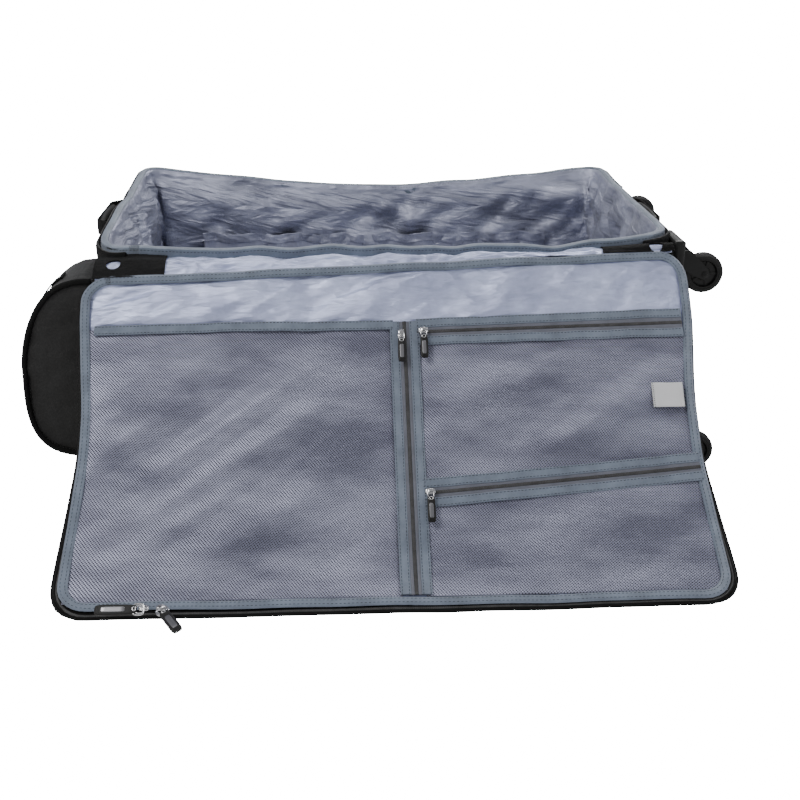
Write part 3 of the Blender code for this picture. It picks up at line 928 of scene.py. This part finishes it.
def hinge_strip():
    """Crinkled satin, a black backing under it and black tabs over its ends, each in two halves."""
    def strip_half(name, x_low, x_high, low, high, material, crinkle, columns):
        def place(u, v):
            x = x_low + (x_high - x_low) * u
            share = low + (high - low) * v
            ripple = noise.noise(Vector((x * 20, share * 3.5, 3.0)))
            ridge = 0.35 - abs(noise.noise(Vector((x * 44, share * 5, 1.0))))
            under_tab = smooth(right - 0.014, right, x) + smooth(left + 0.014, left, x)
            if material == "satin":
                return gusset_point(x, share, crinkle * (ripple + ridge) * (1 - 0.9 * under_tab))
            lift = TAB_LIFT if "tab" in name else BACKING_LIFT
            return gusset_point(x, share, lift + crinkle * (ripple + ridge))

        def flat(u, v):
            return (x_low + (x_high - x_low) * u, (low + (high - low) * v) * 0.045)

        return grid(name, place, columns, 24, material, 0 if "tab" in name else 0.0007, 0, flat)

    left, right = SATIN_REACH
    end = HALF_L - 0.005
    spans = (
        ("satin", -end + 0.003, end - 0.003, "satin", 0.0046, 300),
        ("backing", -end, end, "black_tape", 0.0010, 120),
        ("left_tab", -end, left, "black_tape", 0.0008, 90),
        ("right_tab", right, end, "black_tape", 0.0008, 90),
    )
    for name, x_low, x_high, material, crinkle, columns in spans:
        look = (material, crinkle, columns)
        body_half = strip_half(f"hinge_{name}_body_side", x_low, x_high, -0.08, 0.5, *look)
        lid_half = strip_half(f"hinge_{name}_lid_side", x_low, x_high, 0.5, 1.08, *look)
        for half in (body_half, lid_half):
            if "tab" in name:
                cut_gap(half, x_low, x_high)
        if name == "satin":
            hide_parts("hinge_gusset")
        middle = (x_low + x_high) / 2
        first, second, third, fourth = (gusset_point(middle, share) for share in (0.04, 0.46, 0.54, 0.96))
        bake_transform(body_half)
        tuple(first)
        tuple(second)
        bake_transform(lid_half)
        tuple(third)
        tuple(fourth)


def cut_gap(obj, x_low, x_high):
    """Opens the small round gap where the zip ends, near the outer end of a tab."""
    outer = x_low if abs(x_low) > abs(x_high) else x_high
    x = outer - math.copysign(0.022, outer)
    centre = gusset_point(x, 0.55)
    bm = bmesh.new()
    bm.from_mesh(obj.data)
    gone, radius = [], 0.0085
    for face in bm.faces:
        middle = face.calc_center_median()
        if math.hypot((middle.x - centre.x) / radius, (middle.y - centre.y) / radius) < 1:
            gone.append(face)
    bmesh.ops.delete(bm, geom=gone, context="FACES")
    bm.to_mesh(obj.data)
    bm.free()
    solid = obj.modifiers.new("thickness", "SOLIDIFY")
    solid.thickness, solid.offset = 0.0009, 0
    apply_modifiers(obj)


# ---------------------------------------------------------------- hardware


def plate(name, points, low, high, edge, material, matrix=None, crown=0.0):
    """A flat part cut to an outline, with rounded edges and, if asked, a crowned top."""
    count = len(points)
    corners = [Vector((x, y, 0)) for x, y in points]
    centre = sum(corners, Vector()) / count
    inward = []
    for index, corner in enumerate(corners):
        before, after = corners[index - 1], corners[(index + 1) % count]
        along = (after - before).normalized()
        inward.append(Vector((-along.y, along.x, 0)))
    levels = ((low, edge), (low + edge * 0.3, edge * 0.3), (low + edge, 0.0), (high - edge, 0.0))
    levels += ((high - edge * 0.3, edge * 0.3), (high, edge))
    vertices, faces = [], []
    for height, inset in levels:
        vertices += [corner + turn * inset + Vector((0, 0, height)) for corner, turn in zip(corners, inward)]
    for level in range(len(levels) - 1):
        faces += belt(level * count, (level + 1) * count, count)
    faces.append(tuple(range(count))[::-1])
    top = (len(levels) - 1) * count
    for share in (0.66, 0.33):
        start = len(vertices)
        lift = Vector((0, 0, high + crown * (1 - share * share)))
        for corner, turn in zip(corners, inward):
            inner = centre.lerp(corner + turn * edge, share)
            vertices.append(Vector((inner.x, inner.y, 0)) + lift)
        faces += belt(top, start, count)
        top = start
    faces.append(tuple(top + index for index in range(count)))
    if matrix:
        vertices = [matrix @ vertex for vertex in vertices]
    obj = finish_mesh(name, vertices, faces, material)
    obj.data.set_sharp_from_angle(angle=math.radians(50))
    return obj


def rounded(half_x, half_y, power=4.0, steps=32, taper=0.0, shift=0.0):
    """An outline between an ellipse and a rectangle, narrower towards +x by taper."""
    points = []
    for step in range(steps):
        angle = 2 * math.pi * step / steps
        c, s = math.cos(angle), math.sin(angle)
        x = math.copysign(abs(c) ** (2 / power), c)
        y = math.copysign(abs(s) ** (2 / power), s)
        points.append((shift + half_x * x, half_y * y * (1 - taper * (x + 1) / 2)))
    return points


def ring(name, half_x, half_y, wire, material, matrix, power=2.6, shift=0.0):
    """A closed loop of round wire lying in the matrix's XY plane."""
    path = [matrix @ Vector((x, y, 0)) for x, y in rounded(half_x, half_y, power, 40, shift=shift)]
    up = (matrix.to_3x3() @ Vector((0, 0, 1))).normalized()
    return sweep(name, path, [up] * len(path), circle(wire, 10), material, closed=True)


def frame_at(origin, x_axis, up):
    """The matrix with its X along x_axis and its Z as close to up as that allows."""
    x = x_axis.normalized()
    y = up.cross(x).normalized()
    z = x.cross(y)
    rows = Matrix((x, y, z)).transposed().to_4x4()
    rows.translation = origin
    return rows


def zip_slider(name, matrix):
    """A cast slider: waisted base, top plate with two shoulders, and the bridge that holds the pull."""
    waist = []
    for x, y in rounded(0.0055, 0.0038, 3.2, 40):
        waist.append((x, y * (1 - 0.26 * smooth(-0.002, 0.0055, x))))
    base = plate(f"{name}_slider_base", waist, 0.0002, 0.0014, 0.0004, "nickel", matrix)
    shoulders = [(x * 0.96, y * 0.96) for x, y in waist]
    top = plate(f"{name}_slider_top", shoulders, 0.0019, 0.0032, 0.0005, "nickel", matrix, 0.0004)
    arch = []
    for step in range(17):
        angle = math.pi * step / 16
        x, z = -0.0034 * math.cos(angle) - 0.0002, 0.0032 + 0.0016 * math.sin(angle)
        arch.append(matrix @ Vector((x, 0, z)))
    sides = [(matrix.to_3x3() @ Vector((0, 1, 0))).normalized()] * len(arch)
    section = [(-0.0004, -0.0011), (0.0004, -0.0011), (0.0004, 0.0011), (-0.0004, 0.0011)]
    bridge = sweep(f"{name}_slider_bridge", arch, sides, section, "nickel")
    throat = rounded(0.0020, 0.0012, 3, 20, shift=-0.0026)
    neck = plate(f"{name}_slider_neck", throat, 0.0010, 0.0024, 0.0002, "nickel", matrix)
    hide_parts(f"{name}_slider")
    for obj in (base, top, bridge, neck):
        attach(obj, f"{name}_slider_body")


def zip_pull(name, matrix, length, width, thick):
    """A wire ring on the slider, and a rubber tab with a brushed insert hanging from it."""
    link = ring(f"{name}_pull_ring", 0.0044, width * 0.40, 0.00075, "nickel", matrix, shift=0.0034)
    half = length / 2
    middle = 0.0062 + half
    tab = plate(
        f"{name}_pull_tab", rounded(half, width / 2, 5.0, 44, -0.10, middle),
        -thick / 2, thick / 2, thick * 0.36, "pull_rubber", matrix, 0.0002,
    )
    insert = plate(
        f"{name}_pull_insert", rounded(half * 0.56, width * 0.27, 6.0, 36, 0.0, middle + half * 0.12),
        thick / 2 - 0.0004, thick / 2 + 0.0005, 0.0003, "insert", matrix,
    )
    hole = matrix @ Matrix.Translation((0.0088, 0, thick / 2))
    eyelet = ring(f"{name}_pull_eyelet", 0.0016, 0.0021, 0.0005, "nickel", hole)
    grips = []
    for index in range(3):
        x = middle + half * (0.78 + 0.07 * index)
        path = [matrix @ Vector((x, y * width * 0.30, thick / 2 + 0.0001)) for y in (-1, -0.5, 0, 0.5, 1)]
        ups = [(matrix.to_3x3() @ Vector((0, 0, 1))).normalized()] * 5
        grips.append(sweep(f"{name}_pull_rib_{index}", path, ups, circle(0.00035, 6), "pull_rubber"))
    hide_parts(f"{name}_pull")
    for obj in (link, tab, insert, eyelet, *grips):
        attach(obj, f"{name}_pull_body")


def inner_zips():
    """The slider and pull of each zip on the lid, at the places of their joints."""
    runs = {
        "divider_zip": Vector((0, 1)),
        "upper_zip": Vector((POCKET_SIDE - 0.030, UPPER_ZIP_Y[1] - UPPER_ZIP_Y[0])),
        "lower_zip": Vector((POCKET_SIDE - 0.030, LOWER_ZIP_Y[1] - LOWER_ZIP_Y[0])),
    }
    for name, run in runs.items():
        place = LID.inverted() @ Vector(JOINTS[f"{name}_pull_flip"]["pos_m"])
        x, y = place.x, place.y
        up = lid_up(x, y)
        heading = LID.to_3x3() @ Vector((*run.normalized(), 0))
        origin = lid_point(x, y, 0.0074)
        zip_slider(name, frame_at(origin, heading, up))
        down = LID.to_3x3() @ Vector((0, 1, 0))
        zip_pull(name, frame_at(origin + up * 0.0036, down, up), 0.030, 0.0085, 0.0026)


def main_zips():
    """The two sliders of the main zip where they meet, low on the lid's free edge, and their tabs."""
    for name, side, angle in (("main_zip_left", -1, 180), ("main_zip_right", 1, -62)):
        centre = Vector(JOINTS[f"{name}_pull_swing"]["pos_m"]) + LID.to_3x3() @ Vector((0, -0.009, -0.006))
        up = Vector((0, 0, 1))
        heading = Vector((side, 0, 0))
        zip_slider(name, frame_at(centre + Vector((0, 0, -0.0016)), heading, up))
        along = Matrix.Rotation(math.radians(angle), 3, "Z") @ Vector((1, 0, 0))
        pull = frame_at(centre + Vector((0, -0.0045, 0.0012)), along, Vector((0, -0.55, 0.83)))
        zip_pull(name, pull, 0.043, 0.011, 0.0030)
        loop = ring(f"{name}_pull_loop", 0.0058, 0.0062, 0.0009, "nickel", pull, 3.0, 0.0046)
        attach(loop, f"{name}_pull_body")


def bolt(name, centre, out, radius, body, material="nickel"):
    """A domed screw head with a cross slot, facing along out."""
    other = Vector((0, 0, 1)) if abs(out.z) < 0.9 else Vector((0, 1, 0))
    place = frame_at(centre, other.cross(out), out)
    head = plate(name, rounded(radius, radius, 2.0, 24), -0.0004, 0.0006, 0.0003, material, place, 0.0004)
    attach(head, body)
    for turn in (0, 90):
        cross = place @ Matrix.Rotation(math.radians(turn), 4, "Z") @ Matrix.Translation((0, 0, 0.0009))
        groove = rounded(radius * 0.6, radius * 0.14, 6, 16)
        slot = plate(f"{name}_slot_{turn}", groove, -0.0003, 0.0002, 0.0001, "plastic", cross)
        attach(slot, body)


def casters():
    """Small parts on the four casters: bolts in the housings, axle heads, spokes and tread lines."""
    for label in ("upper_near", "upper_far", "lower_near", "lower_far"):
        (x_low, y_low, z_low), (x_high, y_high, z_high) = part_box(f"caster_housing_{label}")
        swivel = Vector(JOINTS[f"swivel_{label}"]["pos_m"])
        axle = Vector(JOINTS[f"spin_{label}"]["pos_m"])
        for index, (y, z) in enumerate(
            ((y_low, z_low), (y_high, z_low), (y_high, z_high), (y_low, z_high))
        ):
            centre = Vector((x_high + 0.0002, swivel.y + (y - swivel.y) * 0.74, z + (swivel.z - z) * 0.20))
            bolt(f"housing_bolt_{label}_{index}", centre, Vector((1, 0, 0)), 0.0034, "bag_body")
        collar = ring(
            f"swivel_collar_{label}", 0.0145, 0.0145, 0.0014, "plastic",
            frame_at(Vector((x_high, swivel.y, swivel.z)), Vector((0, 0, 1)), Vector((1, 0, 0))), 2.0,
        )
        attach(collar, "bag_body")
        (_, near, _), (_, far, _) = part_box(f"hub_{label}")
        for side, y in ((-1, near), (1, far)):
            centre, out = Vector((axle.x, y, axle.z)), Vector((0, side, 0))
            bolt(f"axle_head_{label}_{side}", centre, out, 0.0042, f"fork_{label}_body", "plastic")
        wheel = frame_at(axle, Vector((1, 0, 0)), Vector((0, -1, 0)))
        (_, tyre_near, _), (_, tyre_far, _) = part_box(f"tyre_{label}")
        for index, share in enumerate((0.30, 0.70)):
            y = tyre_near + (tyre_far - tyre_near) * share
            centre = Matrix.Translation((0, y - axle.y, 0)) @ wheel
            line = ring(f"tread_line_{label}_{index}", 0.0250, 0.0250, 0.0005, "rubber", centre, 2.0)
            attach(line, f"wheel_{label}")
        for index in range(5):
            turn = Matrix.Rotation(math.radians(72 * index), 4, "Z")
            for side in (-1, 1):
                face = wheel @ turn @ Matrix.Translation((0, 0, side * 0.0047))
                spoke = plate(
                    f"spoke_{label}_{index}_{side}", rounded(0.0046, 0.0013, 5, 20, -0.5, 0.0125),
                    -0.0012, 0.0012, 0.0004, "plastic", face,
                )
                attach(spoke, f"wheel_{label}")


# ---------------------------------------------------------------- padded parts


def inflate(obj, held, voxel=0.005, pressure=4.0, cap=0.012):
    """Swells a closed pad with Blender's cloth, holding the points that held(point) picks."""
    remesh = obj.modifiers.new("remesh", "REMESH")
    remesh.mode = "VOXEL"
    remesh.voxel_size = voxel
    apply_modifiers(obj)
    start = [vertex.co.copy() for vertex in obj.data.vertices]
    pins = obj.vertex_groups.new(name="pins")
    pins.add([index for index, point in enumerate(start) if held(point)], 1.0, "REPLACE")
    cloth = obj.modifiers.new("cloth", "CLOTH")
    cloth.settings.vertex_group_mass = "pins"
    cloth.settings.quality = 6
    cloth.settings.use_pressure = True
    cloth.settings.uniform_pressure_force = pressure
    cloth.settings.effector_weights.gravity = 0
    scene = bpy.context.scene
    cloth.point_cache.frame_start, cloth.point_cache.frame_end = 1, 20
    for step in range(1, 21):
        scene.frame_set(step)
    apply_modifiers(obj)
    scene.frame_set(1)
    obj.vertex_groups.clear()
    for vertex, point in zip(obj.data.vertices, start):
        move = vertex.co - point
        if move.length > cap:
            vertex.co = point + move * (cap / move.length)
    subdivide = obj.modifiers.new("subdivide", "SUBSURF")
    subdivide.levels = subdivide.render_levels = 1
    apply_modifiers(obj)
    obj.data.shade_smooth()


def pouch_outline(steps=72):
    """The pouch's outline as (x, z): straight against the wall, rounder above than below."""
    (x_low, _, z_low), (x_high, _, z_high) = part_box("end_pouch")
    middle, half = (z_low + z_high) / 2, (z_high - z_low) / 2
    points = []
    for step in range(steps + 1):
        angle = math.pi / 2 + math.pi * step / steps
        c, s = abs(math.cos(angle)), math.sin(angle)
        reach = (x_high - x_low - 0.008) * c ** (0.72 if s > 0 else 0.60)
        rise = 0.90 * s if s > 0 else -(abs(s) ** 0.66)
        points.append((x_high - 0.006 - reach * (1 - 0.10 * s), middle + half * rise))
    return points


def end_pouch():
    """The padded pouch on the handle end, with piping round both faces and a zip over its side."""
    (x_low, y_low, z_low), (x_high, y_high, z_high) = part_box("end_pouch")
    edge = pouch_outline()
    edge = edge + [(x_high, edge[-1][1] + 0.004), (x_high, edge[0][1] - 0.004)]
    centre = Vector((x_low * 0.45 + x_high * 0.55, 0, (z_low + z_high) / 2))
    near, far = y_low + 0.004, y_high - 0.004
    levels = [(0.25, near, 0.8), (0.55, near, 0.6), (0.80, near, 0.3), (1.0, near, 0.0)]
    levels += [(1.0, near + (far - near) * step / 8, 0.0) for step in range(1, 9)]
    levels += [(0.80, far, -0.3), (0.55, far, -0.6), (0.25, far, -0.8)]
    vertices, faces = [], []
    for share, y, crown in levels:
        for x, z in edge:
            point = centre.lerp(Vector((x, 0, z)), share)
            vertices.append(Vector((point.x, y - 0.004 * crown, point.z)))
    count = len(edge)
    for level in range(len(levels) - 1):
        faces += belt(level * count, (level + 1) * count, count)
    faces.append(tuple(range(count))[::-1])
    faces.append(tuple((len(levels) - 1) * count + index for index in range(count)))
    pouch = finish_mesh("end_pouch_cover", vertices, faces, "coated")
    fix_normals(pouch)

    def held(point):
        at_seam = min(abs(point.y - near), abs(point.y - far)) < 0.004
        by_edge = min(math.hypot(point.x - x, point.z - z) for x, z in edge) < 0.005
        return point.x > x_high - 0.004 or (at_seam and by_edge)

    inflate(pouch, held, 0.0055, 5.0, 0.012)
    for vertex in pouch.data.vertices:
        x, y, z = vertex.co
        broad = noise.noise(Vector((x * 16, y * 12, z * 22)))
        crease = broad + 0.6 * noise.noise(Vector((x * 45, y * 30, z * 60)))
        vertex.co.x += 0.0012 * crease
        vertex.co.y += 0.0018 * crease
        vertex.co.x = min(vertex.co.x, x_high + 0.001)
    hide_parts("end_pouch")
    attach(pouch, "bag_body")
    for name, y, side, share in (("near", near + 0.0005, -1, 0.968), ("far", far - 0.0015, 1, 0.92)):
        path = [centre.lerp(Vector((x, 0, z)), share) + Vector((0, y, 0)) for x, z in edge[:-2]]
        ups = [Vector((0, side, 0))] * len(path)
        piping = sweep(f"end_pouch_piping_{name}", path, ups, circle(0.0040), "black_tape")
        row = studs(
            f"end_pouch_stitches_{name}", path, ups, STITCH_STEP, STITCH, "thread",
            out=0.0045 * side, height=0.0012,
        )
        for obj in (piping, row):
            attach(obj, "bag_body")
    middle = near + (far - near) * 0.42
    surface = BVHTree.FromPolygons(
        [vertex.co for vertex in pouch.data.vertices], [tuple(face.vertices) for face in pouch.data.polygons]
    )
    nearest = [surface.find_nearest(Vector((x - 0.0035, middle, z))) for x, z in edge[8:-10]]
    path = [place + normal * 0.0007 for place, normal, _, _ in nearest]
    out = [normal for _, normal, _, _ in nearest]
    tape = sweep("end_pouch_zip_tape", path, out, flat_profile(0.022, 0.0016), "black_tape")
    teeth = studs("end_pouch_zip_teeth", path, out, 0.0024, (0.0012, 0.0022, 0.0008), "coil", height=0.0012)
    for obj in (tape, teeth):
        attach(obj, "bag_body")


def carry_handles():
    """A webbing loop with a padded sleeve round its middle, and the stitched patches on the wall."""
    for name, side in (("top_carry_handle", -1), ("bottom_carry_handle", 1)):
        (x_low, y_low, z_low), (x_high, y_high, z_high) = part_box(name)
        wall = side * (HALF_L + 0.0005)
        reach = max(abs(x_low), abs(x_high)) - abs(wall)
        z = (z_low + z_high) / 2
        path = []
        for step in range(49):
            share = step / 48
            y = y_low + 0.010 + (y_high - y_low - 0.020) * share
            rise = min(share, 1 - share) / 0.16
            out = smooth(0, 1, rise) * (reach - 0.0065)
            path.append(Vector((wall + side * out, y, z)))
        first, last = Vector((-side * 0.006, 0.002, 0)), Vector((-side * 0.006, -0.002, 0))
        path = [path[0] + first] + path + [path[-1] + last]
        ups = []
        for index in range(len(path)):
            along = (path[min(index + 1, len(path) - 1)] - path[max(index - 1, 0)]).normalized()
            ups.append(Vector((0, 0, 1)).cross(along) * -side)
        strap = sweep(f"{name}_strap", path, ups, flat_profile(0.019, 0.0024), "black_tape")
        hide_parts(name)
        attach(strap, f"{name}_body")
        sleeve_low, sleeve_high = y_low + 0.034, y_high - 0.034
        vertices, faces = [], []
        sides, steps = 20, 30
        for step in range(steps + 1):
            share = step / steps
            y = sleeve_low + (sleeve_high - sleeve_low) * share
            swell = 0.72 + 0.28 * math.sin(math.pi * share) ** 0.5
            arch = 0.0030 * math.sin(math.pi * share)
            for angle_step in range(sides):
                angle = 2 * math.pi * angle_step / sides
                c, s = math.cos(angle), math.sin(angle)
                dx = 0.0062 * swell * math.copysign(abs(c) ** 0.8, c)
                dz = 0.0098 * swell * math.copysign(abs(s) ** 0.8, s)
                vertices.append((wall + side * (reach - 0.0092 + arch) + dx, y, z + dz))
        for step in range(steps):
            for index in range(sides):
                right = (index + 1) % sides
                a, b = step * sides, (step + 1) * sides
                faces.append((a + index, b + index, b + right, a + right))
        faces.append(tuple(range(sides)))
        faces.append(tuple(steps * sides + index for index in range(sides))[::-1])
        sleeve = finish_mesh(f"{name}_sleeve", vertices, faces, "coated")
        fix_normals(sleeve)
        ends = (sleeve_low + 0.003, sleeve_high - 0.003)
        inflate(sleeve, lambda point: point.y < ends[0] or point.y > ends[1], 0.0028, 3.0, 0.0018)
        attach(sleeve, f"{name}_body")
        seam = []
        for step in range(41):
            y = sleeve_low + (sleeve_high - sleeve_low) * step / 40
            seam.append(Vector((wall + side * (reach - 0.004), y, z - 0.009)))
        facing, size = Vector((side, 0, 0)), (0.0024, 0.0005, 0.0004)
        row = studs(f"{name}_seam", seam, [facing] * len(seam), 0.0038, size, "thread")
        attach(row, f"{name}_body")
        for index, y in enumerate((y_low + 0.011, y_high - 0.011)):
            face = frame_at(Vector((wall, y, z)), Vector((0, 1, 0)), Vector((side, 0, 0)))
            shape = rounded(0.021, 0.016, 8, 36)
            patch = plate(f"{name}_patch_{index}", shape, -0.0006, 0.0022, 0.0008, "black_tape", face)
            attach(patch, "bag_body")
            box_path = [face @ Vector((x, y, 0.0022)) for x, y in rounded(0.0180, 0.0130, 12, 60)]
            row = studs(
                f"{name}_patch_stitches_{index}", box_path, [facing] * len(box_path),
                0.0036, (0.0023, 0.0005, 0.0004), "thread", closed=True,
            )
            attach(row, "bag_body")


# ---------------------------------------------------------------- the frame's own parts


def dress_frame():
    """Gives each hard part that stays its material, and breaks its edges a little."""
    looks = (
        ("caster_housing", "plastic"), ("fork", "plastic"), ("hub", "plastic"), ("tyre", "rubber"),
        ("outer_tube", "tube"), ("lower_tube", "tube"), ("upper_tube", "tube"),
        ("handle_housing", "plastic"), ("handle_grip", "plastic"), ("tube_foot", "plastic"),
        ("release_button", "pull_rubber"),
    )
    for name, obj in NODES.items():
        look = next((material for start, material in looks if name.startswith(start)), None)
        if not look:
            continue
        for slot in obj.material_slots:
            slot.material = MATERIALS[look]
        bevel = obj.modifiers.new("edges", "BEVEL")
        bevel.width = 0.0005
        bevel.segments = 2
        bevel.limit_method = "ANGLE"
        bevel.angle_limit = math.radians(40)


def stage_and_light():
    floor = bpy.data.objects.new("floor", bpy.data.meshes.new("floor"))
    reach = 30
    floor.data.from_pydata(
        [(-reach, -reach, 0), (reach, -reach, 0), (reach, reach, 0), (-reach, reach, 0)], [], [(0, 1, 2, 3)]
    )
    pale = bpy.data.materials.new("pale_floor")
    pale.use_nodes = True
    nodes, links = pale.node_tree.nodes, pale.node_tree.links
    shader = nodes["Principled BSDF"]
    shader.inputs["Base Color"].default_value = (0.93, 0.92, 0.91, 1)
    shader.inputs["Roughness"].default_value = 0.85
    kinds = ("ShaderNodeLightPath", "ShaderNodeEmission", "ShaderNodeAddShader")
    seen, glow, add = (nodes.new(kind) for kind in kinds)
    strength = nodes.new("ShaderNodeMath")
    strength.operation = "MULTIPLY"
    strength.inputs[1].default_value = FLOOR_GLOW
    links.new(seen.outputs["Is Camera Ray"], strength.inputs[0])
    links.new(strength.outputs[0], glow.inputs["Strength"])
    links.new(shader.outputs[0], add.inputs[0])
    links.new(glow.outputs[0], add.inputs[1])
    links.new(add.outputs[0], nodes["Material Output"].inputs["Surface"])
    floor.data.materials.append(pale)
    bpy.context.scene.collection.objects.link(floor)
    floor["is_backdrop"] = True
    world = bpy.data.worlds.new("studio")
    world.use_nodes = True
    bpy.context.scene.world = world
    nodes, links = world.node_tree.nodes, world.node_tree.links
    background = nodes["Background"]
    background.inputs["Color"].default_value = (0.97, 0.98, 1.0, 1)
    seen, ramp = nodes.new("ShaderNodeLightPath"), nodes.new("ShaderNodeMapRange")
    ramp.inputs["To Min"].default_value = WORLD_LIGHT
    ramp.inputs["To Max"].default_value = FLOOR_GLOW + 2
    links.new(seen.outputs["Is Camera Ray"], ramp.inputs["Value"])
    links.new(ramp.outputs["Result"], background.inputs["Strength"])
    for name, place, size, power, tint in LIGHTS:
        lamp = bpy.data.lights.new(name, "AREA")
        lamp.shape = "RECTANGLE"
        lamp.size, lamp.size_y = size
        lamp.energy = power
        lamp.color = tint
        holder = bpy.data.objects.new(name, lamp)
        holder.location = place
        toward = Vector((0, -0.15, 0.12)) - Vector(place)
        holder.rotation_euler = toward.to_track_quat("-Z", "Y").to_euler()
        bpy.context.scene.collection.objects.link(holder)


def add_camera():
    """The photograph's point of view: a little above the bag, looking slightly to the right."""
    pitch, yaw, roll = (math.radians(angle) for angle in (21.327, 3.2645, 0.434))
    forward = Vector((math.sin(yaw) * math.cos(pitch), math.cos(yaw) * math.cos(pitch), -math.sin(pitch)))
    right = Vector((math.cos(yaw), -math.sin(yaw), 0))
    up = right.cross(forward)
    across = right * math.cos(roll) + up * math.sin(roll)
    rise = up * math.cos(roll) - right * math.sin(roll)
    lens = bpy.data.cameras.new("camera")
    lens.lens, lens.sensor_width = 54.38, 36
    holder = bpy.data.objects.new("camera", lens)
    matrix = Matrix((across, rise, -forward)).transposed().to_4x4()
    matrix.translation = (-0.0642, -1.6253, 0.6688)
    holder.matrix_world = matrix
    bpy.context.scene.collection.objects.link(holder)
    bpy.context.scene.camera = holder


FLOOR_GLOW = 24.0
WORLD_LIGHT = 0.42
LIGHTS = (
    ("key", (-1.5, -0.9, 2.3), (0.9, 0.9), 52, (1.0, 0.99, 0.97)),
    ("fill", (2.2, -1.8, 1.4), (1.2, 1.2), 18, (0.95, 0.97, 1.0)),
    ("back", (0.9, 1.2, 1.9), (1.0, 0.8), 40, (1.0, 1.0, 1.0)),
)

bag_shell()
rim_trim()
far_pocket()
lid_shell()
lid_trim()
lid_pockets()
care_label()
hinge_strip()
inner_zips()
main_zips()
casters()
end_pouch()
carry_handles()
dress_frame()
stage_and_light()
add_camera()

boxes = {"cad": CAD_BOX, "visual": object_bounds()}
{name: [list(map(float, corner)) for corner in found] for name, found in boxes.items()}
